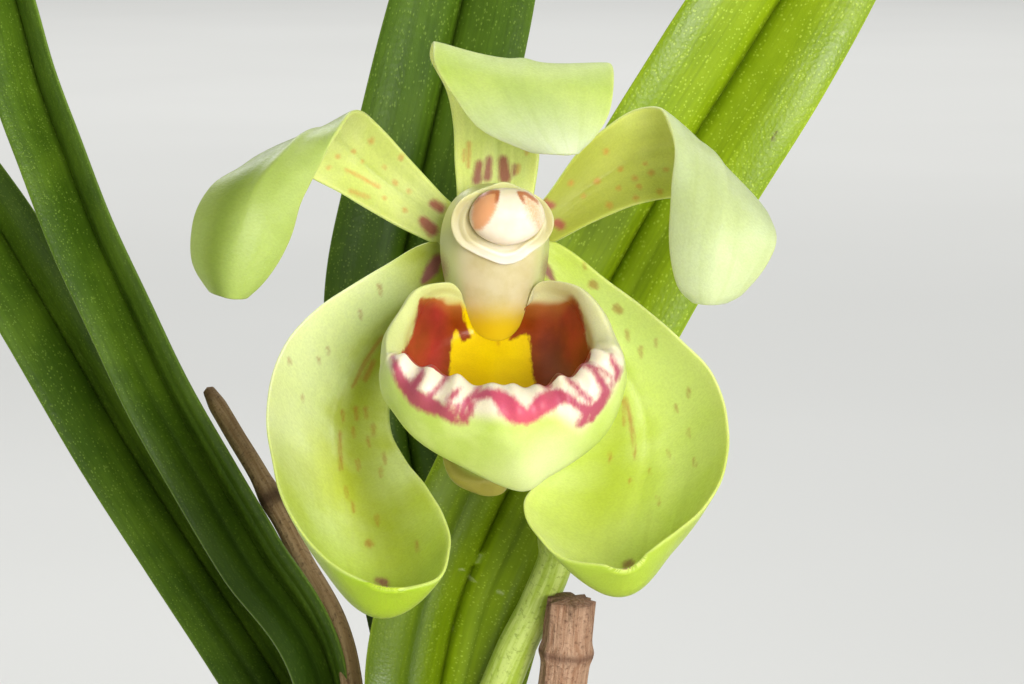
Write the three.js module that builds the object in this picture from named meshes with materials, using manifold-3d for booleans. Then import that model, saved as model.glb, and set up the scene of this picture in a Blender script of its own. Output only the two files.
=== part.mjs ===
import * as THREE from "three";
import { mergeVertices } from "three/addons/utils/BufferGeometryUtils.js";
import Module from "manifold-3d";

// A potted orchid. Millimetres, +Z up, front towards -Y, the pot's foot centred on the origin.

// Pot and potting medium
const POT_HEIGHT = 80;
const POT_FOOT_RADIUS = 31;
const POT_TOP_RADIUS = 43;
const POT_WALL = 4.5;
const POT_RIM_RADIUS = 46.5;
const POT_RIM_HEIGHT = 13;
const POT_FLOOR = 6;
const DRAIN_HOLE_RADIUS = 3.6;
const DRAIN_HOLE_RING = 17;
const DRAIN_HOLES = 4;
const BARK_TOP = 70;
const BARK_CHUNKS = 19;
const BARK_SEED = 11;

// Plant
const GAP = 0.3;
const STEM_BOTTOM = 60;
const STEM_TOP = 109;
const STEM_RADIUS_X = 5.6;
const STEM_RADIUS_Y = 4.1;
const STEM_NODE_SPACING = 5.5;
const LEAF_WIDTH = 15.2;
const LEAF_THICKNESS = 1.25;
const ROOT_RADIUS = 1.8;
const STALK_RADIUS = 1.9;
const STUB_RADIUS = 2.35;

// Flower: its own frame has x to the right, y up and z out of its face
const FLOWER_CENTRE = [6, -21, 176];
const FLOWER_NOD = 8;
const TEPAL_THICKNESS = 0.95;
const TEPAL_EDGE = 0.62;

const wasm = await Module();
wasm.setup();

// ---------- small helpers ----------

const clamp = (x) => Math.min(1, Math.max(0, x));

function smooth(from, to, x) {
  const t = clamp((x - from) / (to - from));
  return t * t * (3 - 2 * t);
}

const vec = (p) => new THREE.Vector3(...p);

function seeded(seed) {
  let state = seed;
  return () => {
    state = (state * 1664525 + 1013904223) % 4294967296;
    return state / 4294967296;
  };
}

// A point of the uniform Catmull-Rom curve through the given points, u from 0 to 1.
function along(points, u, closed = false) {
  const last = points.length - 1;
  const spans = closed ? points.length : last;
  const at = Math.min(u, 1) * spans;
  const i = closed ? Math.floor(at) : Math.min(Math.floor(at), last - 1);
  const t = at - i;
  const wrap = (k) => points[((k % points.length) + points.length) % points.length];
  const pick = (k) => {
    if (closed) return wrap(k);
    if (k < 0) return points[0].map((x, j) => 2 * x - points[1][j]);
    if (k > last) return points[last].map((x, j) => 2 * x - points[last - 1][j]);
    return points[k];
  };
  const [a, b, c, d] = [pick(i - 1), pick(i), pick(i + 1), pick(i + 2)];
  return b.map(
    (x, j) =>
      0.5 *
      (2 * x +
        (c[j] - a[j]) * t +
        (2 * a[j] - 5 * x + 4 * c[j] - d[j]) * t * t +
        (3 * x - a[j] - 3 * c[j] + d[j]) * t * t * t)
  );
}

function geometryFrom(points, faces) {
  const flat = new Float32Array(points.flat());
  const geometry = new THREE.BufferGeometry();
  geometry.setAttribute("position", new THREE.BufferAttribute(flat, 3));
  geometry.setIndex(faces.flat());
  return geometry;
}

// Moves every vertex out along its normal: the same shape with room around it.
function grown(geometry, by) {
  const merged = mergeVertices(bare(geometry), 1e-4);
  merged.computeVertexNormals();
  const p = merged.attributes.position;
  const n = merged.attributes.normal;
  for (let i = 0; i < p.count; i += 1) {
    p.setXYZ(i, p.getX(i) + by * n.getX(i), p.getY(i) + by * n.getY(i), p.getZ(i) + by * n.getZ(i));
  }
  return merged;
}

function bare(geometry) {
  const copy = new THREE.BufferGeometry();
  copy.setAttribute("position", geometry.getAttribute("position").clone());
  if (geometry.index) copy.setIndex(geometry.index.clone());
  return copy;
}

function solid(geometry) {
  const merged = mergeVertices(bare(geometry), 1e-4);
  return new wasm.Manifold(
    new wasm.Mesh({
      numProp: 3,
      vertProperties: merged.attributes.position.array,
      triVerts: new Uint32Array(merged.index.array),
    })
  );
}

// The largest body of a solid, as a geometry.
function geometryOf(manifold) {
  const bodies = manifold.decompose();
  bodies.sort((a, b) => b.volume() - a.volume());
  const mesh = bodies[0].getMesh();
  const geometry = new THREE.BufferGeometry();
  const positions = new Float32Array(mesh.numVert * 3);
  for (let i = 0; i < mesh.numVert; i += 1) {
    for (let k = 0; k < 3; k += 1) positions[3 * i + k] = mesh.vertProperties[i * mesh.numProp + k];
  }
  geometry.setAttribute("position", new THREE.BufferAttribute(positions, 3));
  geometry.setIndex(Array.from(mesh.triVerts));
  return geometry;
}

const cut = (geometry, ...tools) =>
  geometryOf(tools.reduce((body, tool) => body.subtract(solid(tool)), solid(geometry)));

// A closed surface through rings of points that run the same way round, capped at both ends.
function loft(rings) {
  const n = rings[0].length;
  const points = rings.flat();
  const faces = [];
  for (let r = 0; r + 1 < rings.length; r += 1) {
    for (let k = 0; k < n; k += 1) {
      const a = r * n + k;
      const b = r * n + ((k + 1) % n);
      faces.push([a, b, a + n], [b, b + n, a + n]);
    }
  }
  const centre = (ring) => ring[0].map((_, j) => ring.reduce((sum, p) => sum + p[j], 0) / n);
  const first = points.push(centre(rings[0])) - 1;
  const last = points.push(centre(rings[rings.length - 1])) - 1;
  const top = (rings.length - 1) * n;
  for (let k = 0; k < n; k += 1) {
    const next = (k + 1) % n;
    faces.push([first, next, k], [last, top + k, top + next]);
  }
  return geometryFrom(points, faces);
}

// A blade: a grid of middle points thickened to both sides along its normals.
function blade(rows, thickness) {
  const m = rows.length;
  const n = rows[0].length;
  const at = (i, j) => vec(rows[Math.min(m - 1, Math.max(0, i))][Math.min(n - 1, Math.max(0, j))]);
  const front = [];
  const back = [];
  for (let i = 0; i < m; i += 1) {
    for (let j = 0; j < n; j += 1) {
      const lengthwise = at(i + 1, j).sub(at(i - 1, j));
      const across = at(i, j + 1).sub(at(i, j - 1));
      const normal = across.cross(lengthwise).normalize();
      const half = thickness(i / (m - 1), (2 * j) / (n - 1) - 1) / 2;
      front.push(at(i, j).addScaledVector(normal, half).toArray());
      back.push(at(i, j).addScaledVector(normal, -half).toArray());
    }
  }
  const faces = [];
  const shift = m * n;
  for (let i = 0; i + 1 < m; i += 1) {
    for (let j = 0; j + 1 < n; j += 1) {
      const a = i * n + j;
      const b = a + 1;
      const c = a + n;
      const d = c + 1;
      faces.push([a, b, c], [b, d, c]);
      faces.push([a + shift, c + shift, b + shift], [b + shift, c + shift, d + shift]);
    }
  }
  const wall = (a, b) => faces.push([a, a + shift, b], [b, a + shift, b + shift]);
  for (let j = 0; j + 1 < n; j += 1) {
    wall(j, j + 1);
    wall((m - 1) * n + j + 1, (m - 1) * n + j);
  }
  for (let i = 0; i + 1 < m; i += 1) {
    wall((i + 1) * n, i * n);
    wall(i * n + n - 1, (i + 1) * n + n - 1);
  }
  return geometryFrom([...front, ...back], faces);
}

// A round bar along a path. The section keeps its turn from ring to ring.
function bar(path, steps, sides, radius, shape = () => 1) {
  const rings = [];
  let side = new THREE.Vector3(0, 1, 0.01);
  for (let i = 0; i <= steps; i += 1) {
    const u = i / steps;
    const here = vec(along(path, u));
    const ahead = vec(along(path, Math.min(1, u + 0.01)));
    const behind = vec(along(path, Math.max(0, u - 0.01)));
    const forward = ahead.sub(behind).normalize();
    side = side.addScaledVector(forward, -side.dot(forward)).normalize();
    const other = forward.clone().cross(side);
    const ring = [];
    for (let k = 0; k < sides; k += 1) {
      const turn = (2 * Math.PI * k) / sides;
      const r = radius(u) * shape(u, turn);
      const p = here.clone().addScaledVector(side, r * Math.cos(turn));
      p.addScaledVector(other, r * Math.sin(turn));
      ring.push(p.toArray());
    }
    rings.push(ring);
  }
  return loft(rings);
}

// ---------- pot and bark ----------

function lathe(profile, sides) {
  const rings = profile.map(([r, z]) =>
    Array.from({ length: sides }, (_, k) => {
      const turn = (2 * Math.PI * k) / sides;
      return [r * Math.cos(turn), r * Math.sin(turn), z];
    })
  );
  return loft(rings);
}

function post(x, y, radius, from, to, sides) {
  const ring = (z) =>
    Array.from({ length: sides }, (_, k) => {
      const turn = (2 * Math.PI * k) / sides;
      return [x + radius * Math.cos(turn), y + radius * Math.sin(turn), z];
    });
  return loft([ring(from), ring(to)]);
}

// The inside radius of the pot at a height.
const potInside = (z) =>
  POT_FOOT_RADIUS - POT_WALL + ((POT_TOP_RADIUS - POT_FOOT_RADIUS) * z) / POT_HEIGHT;

function potGeometry() {
  const rimFoot = POT_HEIGHT - POT_RIM_HEIGHT;
  const outside = (z) => potInside(z) + POT_WALL;
  const profile = [
    [POT_FOOT_RADIUS - 1.2, 0],
    [POT_FOOT_RADIUS, 1.2],
    [outside(rimFoot - 1.5), rimFoot - 1.5],
    [POT_RIM_RADIUS - 1, rimFoot],
    [POT_RIM_RADIUS, rimFoot + 1.2],
    [POT_RIM_RADIUS + 0.3, POT_HEIGHT - 2.5],
    [POT_RIM_RADIUS - 0.6, POT_HEIGHT - 0.6],
    [POT_RIM_RADIUS - 2, POT_HEIGHT],
    [potInside(POT_HEIGHT) + 1, POT_HEIGHT - 0.3],
    [potInside(POT_HEIGHT), POT_HEIGHT - 1.6],
    [potInside(POT_FLOOR + 3), POT_FLOOR + 3],
    [potInside(POT_FLOOR) - 3, POT_FLOOR],
  ];
  const holes = Array.from({ length: DRAIN_HOLES }, (_, k) => {
    const turn = ((k + 0.5) * 2 * Math.PI) / DRAIN_HOLES;
    const x = DRAIN_HOLE_RING * Math.cos(turn);
    const y = DRAIN_HOLE_RING * Math.sin(turn);
    return post(x, y, DRAIN_HOLE_RADIUS, -1, POT_FLOOR + 1, 12);
  });
  return cut(lathe(profile, 42), ...holes);
}

// One irregular bark chunk: a box with its corners pushed about.
function barkChunk(random, x, y, z, size) {
  const box = new THREE.BoxGeometry(size, size * (0.5 + 0.4 * random()), size * (0.35 + 0.3 * random()));
  const merged = mergeVertices(bare(box), 1e-4);
  const p = merged.attributes.position;
  for (let i = 0; i < p.count; i += 1) {
    const push = () => 1 + 0.35 * (random() - 0.5);
    p.setXYZ(i, p.getX(i) * push(), p.getY(i) * push(), p.getZ(i) * push());
  }
  const tip = 0.7 * (random() - 0.5);
  const roll = 0.7 * (random() - 0.5);
  merged.rotateX(tip);
  merged.rotateY(roll);
  merged.rotateZ(2 * Math.PI * random());
  merged.translate(x, y, z);
  return merged;
}

function barkGeometry(tools) {
  const random = seeded(BARK_SEED);
  const edge = (z) => potInside(z) - GAP;
  const core = [
    [edge(POT_FLOOR) - 3.5, POT_FLOOR + GAP],
    [edge(POT_FLOOR + 3), POT_FLOOR + 3 + GAP],
    [edge(BARK_TOP - 3), BARK_TOP - 3],
    [edge(BARK_TOP - 3) - 3, BARK_TOP - 1.5],
    [14, BARK_TOP],
  ];
  let body = solid(lathe(core, 30));
  for (let k = 0; k < BARK_CHUNKS; k += 1) {
    const turn = k * 2.39996 + 0.5 * random();
    const reach = (edge(BARK_TOP) - 7.5) * Math.sqrt((k + 0.7) / BARK_CHUNKS);
    const z = BARK_TOP - 0.6 + 2.2 * random() - (reach > 25 ? 1 : 0);
    const size = 14 + 7 * random();
    body = body.add(solid(barkChunk(random, reach * Math.cos(turn), reach * Math.sin(turn), z, size)));
  }
  const keep = lathe([[1, POT_FLOOR], [edge(POT_FLOOR), POT_FLOOR], [edge(78), 78], [1, 78]], 30);
  body = body.intersect(solid(keep));
  return geometryOf(tools.reduce((rest, tool) => rest.subtract(solid(tool)), body));
}

// ---------- stem, roots, leaves ----------

// The stem is wrapped in sheaths that end by turns on the right and on the left.
function stemGeometry(extra = 0) {
  const sides = 14;
  const rings = [];
  const ring = (z, swell, tilt) => {
    const points = [];
    for (let k = 0; k < sides; k += 1) {
      const turn = (2 * Math.PI * k) / sides;
      const x = (STEM_RADIUS_X * swell + extra) * Math.cos(turn);
      const y = (STEM_RADIUS_Y * swell + extra) * Math.sin(turn);
      points.push([x, y, z + tilt * Math.cos(turn)]);
    }
    rings.push(points);
  };
  ring(STEM_BOTTOM - extra, 0.8, 0);
  ring(STEM_BOTTOM + 12, 0.86, 0);
  let side = 1;
  for (let z = STEM_BOTTOM + 18; z < STEM_TOP - 4; z += STEM_NODE_SPACING) {
    ring(z, 1.12, 1.4 * side);
    ring(z + 0.8, 0.94, 1.4 * side);
    side = -side;
  }
  ring(STEM_TOP - 2, 0.8, 0);
  ring(STEM_TOP + extra, 0.45, 0);
  return loft(rings);
}

const ROOTS = [
  [[2, -3.4, 79], [8, -9, 79.5], [13, -15, 75.5], [15, -19, 68], [15, -20, 58]],
  [[-3.4, -1.6, 80], [-10, -8, 79], [-15, -15, 75], [-17, -19, 67], [-17, -20, 58]],
  [[0, 3, 83], [3, 11, 82], [5, 19, 76], [5, 23, 68], [5, 24, 58]],
  [[4.6, 1, 79], [17, 5, 83], [32, 10, 86], [45, 14, 84.5], [52, 16.5, 76], [52, 17.5, 62], [50, 18, 50]],
  [[-2, 3.2, 79], [-9, 9, 80], [-17, 13, 77], [-21, 15, 68], [-21, 15, 58]],
  [[-4, -2.4, 85], [-13, -9, 89], [-24, -15, 89.5], [-35, -22, 88], [-43, -27, 84.4], [-48.4, -30.4, 75],
    [-48.4, -31, 62]],
];

function rootGeometry(path, extra = 0) {
  const blunt = (u) => 1 - 0.55 * Math.max(0, (u - 0.94) / 0.06) ** 2;
  return bar(path, 12, 8, (u) => ROOT_RADIUS * (1 - 0.12 * u) * blunt(u) + extra);
}

// Each leaf: the path of its middle line, the way its upper face looks at its foot and at its
// tip, its share of the full width and how far each half folds up, in degrees. The first four
// are the ones behind the flower.
const LEAVES = [
  {
    path: [[1.5, -2.6, 101], [-0.6, -3.6, 112], [-0.7, -2.1, 123.6], [0.3, -1.1, 130.7],
      [2.2, -1, 138.7], [5.2, -0.5, 145.8], [8.1, -0.1, 151.9], [10.4, -0.3, 157.7], [15.3, 0, 167.1],
      [21.6, 0.5, 178.3], [26.8, 0.7, 186.7], [32, 1.9, 194.9], [38.6, 5.3, 205], [46.7, 12.6, 214.2],
      [54.4, 21.7, 220.9]],
    face: [[0.1, -1, 0], [0.1, -1, 0.15]],
    width: 1.1,
    fold: 20,
    rows: 20,
  },
  {
    path: [[0.6, 2.8, 106], [0.8, 8.6, 118], [0.4, 16, 131], [-1.5, 20.4, 141], [-3.6, 24.2, 152],
      [-4.4, 27.7, 163.5], [-2.2, 31.4, 175.2], [2, 37.9, 193], [4.8, 43.7, 205], [8.9, 50.9, 213.1]],
    face: [[0, -1, 0.3], [0.1, -1, 0.2]],
    width: 1.04,
    fold: 20,
    rows: 14,
  },
  {
    path: [[-3.6, 1.4, 102], [-7, 4.6, 114], [-10.8, 12.9, 129.8], [-17.3, 20.2, 138.4],
      [-22.1, 23.2, 145.9], [-26.7, 25.3, 153.7], [-30.6, 27.5, 161.5], [-34.4, 29.6, 169.3],
      [-37.6, 31.7, 177.2], [-40.4, 33.7, 184.4], [-42.9, 35.9, 193.1], [-46.2, 39.2, 202.1],
      [-50.8, 44.4, 210.1]],
    face: [[-0.3, -1, 0.3], [-0.3, -1, 0.2]],
    width: 0.86,
    fold: 57,
    rows: 16,
  },
  {
    path: [[-3.8, 2.2, 97.5], [-8, 14, 110], [-13.4, 25.6, 119.3], [-18.7, 30.6, 126.7],
      [-25.2, 35.9, 135.3], [-32.8, 40.4, 146.1], [-40.3, 44.2, 158.2], [-46.8, 47.6, 168.3],
      [-53.6, 51.9, 177.4], [-61.9, 59.2, 186.5]],
    face: [[-0.2, -1, 0.5], [-0.2, -1, 0.3]],
    width: 0.92,
    fold: 46,
    rows: 14,
  },
  {
    path: [[4.6, 0, 93], [20, -5, 108], [40, -11, 116], [60, -17, 115], [78, -22, 106], [90, -25, 95]],
    face: [[-0.6, -0.1, 1], [0.5, -0.3, 1]],
    width: 1,
    fold: 20,
    rows: 14,
  },
  {
    path: [[-4.4, -1.6, 90.5], [-20, -11, 101], [-39, -22, 107], [-56, -32, 105], [-70, -40, 96],
      [-80, -45, 84]],
    face: [[0.6, -0.1, 1], [-0.5, -0.3, 1]],
    width: 0.98,
    fold: 22,
    rows: 14,
  },
  {
    path: [[4.6, 1, 87], [21, 8, 98], [41, 17, 103], [60, 26, 99], [75, 32, 89], [84, 36, 77]],
    face: [[-0.5, 0.1, 1], [0.6, 0.2, 1]],
    width: 0.96,
    fold: 20,
    rows: 14,
  },
  {
    path: [[-4.6, 1.4, 85], [-21, 10, 94.5], [-42, 20, 100], [-61, 29, 96], [-76, 36, 86], [-85, 40, 75]],
    face: [[0.5, 0.1, 1], [-0.6, 0.2, 1]],
    width: 0.95,
    fold: 24,
    rows: 14,
  },
  {
    path: [[4.6, -1.5, 81.5], [18, -11, 91], [35, -22, 95], [50, -32, 92], [62, -39, 83], [69, -43, 72]],
    face: [[-0.4, -0.2, 1], [0.6, -0.5, 1]],
    width: 0.9,
    fold: 18,
    rows: 14,
  },
  {
    path: [[1.4, 4, 98], [7, 19, 110.5], [13, 35, 117], [19, 50, 115], [25, 63, 107], [28, 72, 96]],
    face: [[0, -0.6, 1], [0.1, 0.6, 1]],
    width: 0.9,
    fold: 22,
    rows: 14,
  },
];

// Half the width at a share of the length.
const leafHalfWidth = (u) => 0.5 * LEAF_WIDTH * (0.72 + 0.28 * smooth(0, 0.28, u)) * (1 - 0.28 * smooth(0.72, 1, u));

// How far the tip stops short at a place across it: two unequal lobes with a notch between.
function tipCut(v) {
  const rounding = 4.2 * Math.abs(v) ** 3;
  const notch = 2.6 * Math.exp(-((v - 0.06) ** 2) / 0.03);
  return rounding + notch + 1.8 * smooth(0, 0.25, v);
}

// The leaf's middle surface, u along it and v across it from -1 to 1.
function leafPoint(leaf, u, v) {
  const length = leaf.path.length * 12;
  const stop = (tipCut(v) / length) * smooth(0.75, 1, u);
  const w = clamp(u - stop);
  const here = vec(along(leaf.path, w));
  const ahead = vec(along(leaf.path, Math.min(1, w + 0.004)));
  const behind = vec(along(leaf.path, Math.max(0, w - 0.004)));
  const forward = ahead.sub(behind).normalize();
  const face = vec(leaf.face[0]).lerp(vec(leaf.face[1]), w);
  face.addScaledVector(forward, -face.dot(forward)).normalize();
  const right = forward.clone().cross(face);
  const half = leafHalfWidth(w) * leaf.width;
  const fold = THREE.MathUtils.degToRad(leaf.fold + Math.max(12, 46 - leaf.fold) * (1 - smooth(0, 0.25, w)));
  const spread = Math.sqrt(v * v + 0.004) - 0.063;
  const pleat = 0.28 * Math.cos(Math.PI * 2.5 * v) * smooth(0.1, 0.3, Math.abs(v));
  here.addScaledVector(right, v * half * Math.cos(fold));
  here.addScaledVector(face, spread * half * Math.sin(fold) + pleat);
  return here.toArray();
}

function leafGeometry(leaf, columns) {
  const rows = [];
  for (let i = 0; i <= leaf.rows; i += 1) {
    const u = i / leaf.rows;
    const row = [];
    for (let j = 0; j <= columns; j += 1) row.push(leafPoint(leaf, u, (2 * j) / columns - 1));
    rows.push(row);
  }
  return blade(rows, (u, v) => LEAF_THICKNESS * (1 - 0.42 * v * v) * (1 - 0.15 * u));
}

// ---------- flower ----------

// Each tepal runs through three rails: one edge, the middle, the other edge, from foot to tip.
const TEPALS = {
  dorsal_sepal: {
    left: [[-3.8, 2.9, -1], [-3.9, 5.7, 0], [-4.0, 9.1, 1.5], [-4.6, 11.9, 3.5], [-6.0, 14.6, 6],
      [-5.7, 15.8, 9], [-5.5, 13.7, 12], [-3.9, 11.0, 13.5], [-1.5, 8.0, 14.5], [2.9, 6.1, 15]],
    middle: [[-0.3, 2.4, -2], [-0.3, 5.8, -2.2], [-0.2, 9.1, -1.8], [0.4, 11.7, 0.5], [1.6, 13.6, 4],
      [2.1, 13.9, 8], [2.5, 12.4, 12], [3.2, 10.3, 14.5], [4.4, 7.8, 16], [5.5, 5.8, 16.3]],
    right: [[2.8, 2.9, -1], [3.3, 5.7, 0], [3.6, 9.1, 1.5], [4.5, 11.7, 3], [7.8, 13.5, 5.5],
      [9.5, 14.0, 8.5], [9.7, 12.1, 11.5], [9.2, 9.4, 13.5], [7.8, 7.2, 14.8], [6.4, 6.1, 15]],
  },
  petal_left: {
    left: [[-6.8, -0.5, -1], [-10.5, 1.2, 0], [-13.9, 3.3, 1.5], [-17.3, 4.9, 4], [-19.8, 6.2, 7.5],
      [-22.2, 5.0, 10], [-24.6, 3.3, 11.3], [-26.0, 0.3, 12], [-26.0, -3.1, 12], [-24.5, -5.6, 12]],
    middle: [[-5.7, 1.2, -1.8], [-9.6, 3.9, -1.8], [-12.8, 6.5, -0.8], [-14.8, 8.0, 3], [-16.2, 7.8, 7.5],
      [-18.2, 6.0, 11], [-20.5, 3.0, 13.4], [-21.8, -0.4, 14.3], [-22.7, -3.8, 14], [-22.9, -6.2, 13]],
    right: [[-4.9, 2.6, -1], [-8.2, 6.4, 0.5], [-10.8, 9.2, 3], [-12.4, 10.1, 6.5], [-13.8, 8.3, 9.5],
      [-15.4, 5.0, 11.2], [-16.9, 2.0, 12], [-17.8, -1.2, 12.5], [-19.7, -4.3, 12.5], [-21.5, -6.1, 12]],
  },
  petal_right: {
    left: [[4.1, 2.6, -1], [7.0, 6.9, 0.5], [10.0, 9.4, 2.5], [12.3, 10.4, 4.5], [13.8, 10.2, 7],
      [14.5, 8.6, 9.5], [14.9, 6.3, 11], [14.6, 3.1, 12], [14.4, -1.2, 12.5], [15.0, -4.7, 12.5],
      [16.5, -6.4, 12]],
    middle: [[4.5, 1.2, -1.8], [7.9, 4.0, -1.8], [11.3, 6.1, -1.2], [14.2, 7.1, 1], [16.8, 7.0, 4.5],
      [18.2, 5.8, 8.5], [18.8, 3.6, 11.7], [18.8, 0.7, 13.7], [18.4, -2.5, 14.3], [17.9, -5.3, 13.8],
      [17.7, -6.7, 13]],
    right: [[5.2, -0.5, -1], [8.8, 1.1, 0], [12.3, 2.3, 1], [15.7, 2.9, 2.5], [19.3, 3.0, 4.5],
      [22.2, 1.9, 7.5], [23.3, 0.1, 10], [23.4, -1.7, 11.5], [22.4, -3.6, 12], [20.7, -5.6, 12],
      [19.2, -6.4, 12]],
  },
  lateral_sepal_left: {
    left: [[-6.8, -1.5, -1], [-9.9, -3.0, -0.5], [-13.5, -5.2, 0.5], [-17.0, -7.9, 2], [-19.3, -11.2, 3],
      [-20.2, -15.3, 4.5], [-19.7, -19.6, 6.5], [-18.5, -23.4, 9], [-16.0, -27.1, 11],
      [-13.4, -29.1, 12.5], [-11.0, -30.2, 13]],
    middle: [[-4.7, -3.2, -2], [-7.5, -5.9, -3], [-10.9, -9.1, -4], [-13.6, -12.8, -4.6],
      [-15.0, -16.8, -4.8], [-14.6, -21.2, -4], [-13.4, -25.6, -2], [-12.0, -29.4, 1.5],
      [-10.8, -32.2, 5.5], [-10.1, -33.1, 10], [-9.9, -30.5, 13.3]],
    right: [[-3.0, -4.6, -1], [-5.3, -7.7, -0.7], [-8.1, -11.6, -0.4], [-9.7, -14.9, 0.2],
      [-9.5, -17.9, 1.3], [-8.1, -20.4, 2.8], [-6.3, -22.6, 4.5], [-4.8, -25.0, 6.5], [-4.3, -27.4, 9],
      [-5.2, -29.8, 11.5], [-8.6, -30.8, 13]],
  },
  lateral_sepal_right: {
    left: [[1.8, -4.6, -1], [4.0, -7.9, -0.7], [5.8, -11.6, -0.4], [6.7, -15.1, 0.2], [6.1, -18.4, 1.3],
      [4.8, -20.7, 2.8], [3.1, -22.3, 4.5], [2.0, -24.0, 6.5], [3.0, -26.0, 8.8], [5.2, -28.1, 11],
      [9.1, -28.8, 13]],
    middle: [[3.3, -3.2, -2], [6.2, -6.1, -3], [9.3, -9.7, -4], [11.7, -13.4, -4.6], [13.0, -17.2, -4.8],
      [13.0, -20.8, -4], [12.1, -24.3, -2], [11.2, -27.6, 1.5], [10.7, -30.0, 6], [10.6, -31.2, 10],
      [11.1, -29.0, 13.3]],
    right: [[5.2, -1.5, -1], [8.6, -3.8, -0.5], [12.5, -6.8, 0.5], [16.1, -9.9, 2], [18.7, -13.0, 3],
      [19.7, -16.2, 4], [19.7, -19.4, 5.5], [18.8, -22.3, 7.5], [16.6, -24.8, 9.5], [14.3, -26.5, 11.5],
      [12.3, -27.8, 13]],
  },
};

// The tepal's middle surface, u from foot to tip and v from the left rail to the right one.
function tepalPoint(rails, u, v) {
  const a = along(rails.left, u);
  const m = along(rails.middle, u);
  const b = along(rails.right, u);
  return m.map((x, j) => x + 0.5 * (b[j] - a[j]) * v + (0.5 * (a[j] + b[j]) - x) * v * v);
}

function tepalGeometry(rails, rows, columns) {
  const grid = [];
  for (let i = 0; i <= rows; i += 1) {
    const row = [];
    for (let j = 0; j <= columns; j += 1) row.push(tepalPoint(rails, i / rows, (2 * j) / columns - 1));
    grid.push(row);
  }
  return blade(grid, (u, v) => TEPAL_EDGE + (TEPAL_THICKNESS - TEPAL_EDGE) * (1 - v * v) * (1 - u * u));
}

// The lip is a thick-walled bowl. Its left half is given by lines that run from under it up its
// outside, over its rim and down to its floor. The right half mirrors them.
const LIP_MIDDLE = 0.1;
const LIP_SPUR = [-0.5, -22.7, 1.2];
const LIP_FLOOR = [-0.3, -10.4, 4.6];
const LIP_LINES = {
  rear: [[0.1, -8.8, 0.5], [0.1, -7.6, 1.2], [0.1, -7.4, 2], [0.1, -7.4, 2.6], [0.1, -7.5, 3],
    [0.1, -7.9, 3.2], [0.1, -8.8, 3.6]],
  lobe_back: [[-3.7, -8.8, 1.5], [-5.4, -5.5, 4.5], [-5.3, -4.9, 6], [-5.0, -4.8, 6.5],
    [-4.6, -4.8, 6.7], [-4.2, -5.3, 6.2], [-3.4, -7.4, 4.6]],
  lobe: [[-6.1, -12.3, 2.5], [-9.3, -8.8, 7.5], [-8.9, -7.5, 9.6], [-8.4, -7.0, 10.4],
    [-8.0, -6.9, 10.5], [-7.6, -7.3, 9.9], [-5.6, -9.2, 6]],
  side: [[-6.8, -16.6, 4], [-10.2, -13.2, 9.5], [-10.1, -12.3, 12.5], [-9.6, -12.0, 14],
    [-8.9, -11.3, 14.6], [-8.2, -11.1, 13.4], [-6.3, -10.8, 7.6]],
  front_side: [[-4.3, -21.2, 5], [-7.1, -18.3, 11.5], [-7.1, -16.9, 15], [-7.0, -15.3, 17],
    [-6.3, -13.7, 17.6], [-5.2, -12.2, 15.6], [-4.2, -11.9, 8.4]],
  front: [[0.3, -22.8, 7], [1.1, -22.3, 13], [0.7, -19.9, 17], [0.1, -16.7, 19], [0.1, -15.1, 19.6],
    [0.1, -13.7, 17.2], [-0.1, -12.8, 9]],
};
const LIP_RIDGES = 9;

// The lip's surface: round runs once about it from the rear, over runs from its spur to its floor.
function lipPoint(round, over) {
  const mirrored = (line) => line.map(([x, y, z]) => [2 * LIP_MIDDLE - x, y, z]);
  const names = ["rear", "lobe_back", "lobe", "side", "front_side", "front"];
  const left = names.map((name) => LIP_LINES[name]);
  const right = names.slice(1, 5).reverse().map((name) => mirrored(LIP_LINES[name]));
  const lines = [...left, ...right];
  const steps = LIP_LINES.rear.length;
  const line = [];
  for (let k = 0; k < steps; k += 1) line.push(along(lines.map((l) => l[k]), round, true));
  const turn = 2 * Math.PI * round;
  const spur = (reach, radius) => [
    LIP_SPUR[0] + 0.15 * reach - radius * Math.sin(turn),
    LIP_SPUR[1] + 0.42 * reach + radius * Math.cos(turn),
    LIP_SPUR[2] + 0.3 * reach,
  ];
  const p = along([spur(0, 0.9), spur(3, 2.2), ...line, LIP_FLOOR], over);
  const front = smooth(0.22, 0.36, round) * (1 - smooth(0.64, 0.78, round));
  const band = smooth(0.5, 0.62, over) * (1 - smooth(0.8, 0.88, over));
  p[2] += 0.2 * front * band * Math.cos((2 * Math.PI * LIP_RIDGES * (round - 0.5)) / 0.56);
  return p;
}

function lipGeometry() {
  const rings = [];
  for (let r = 0; r <= 20; r += 1) {
    const over = 0.985 * (r / 20);
    rings.push(Array.from({ length: 40 }, (_, k) => lipPoint(k / 40, over)));
  }
  return loft(rings);
}

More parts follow.
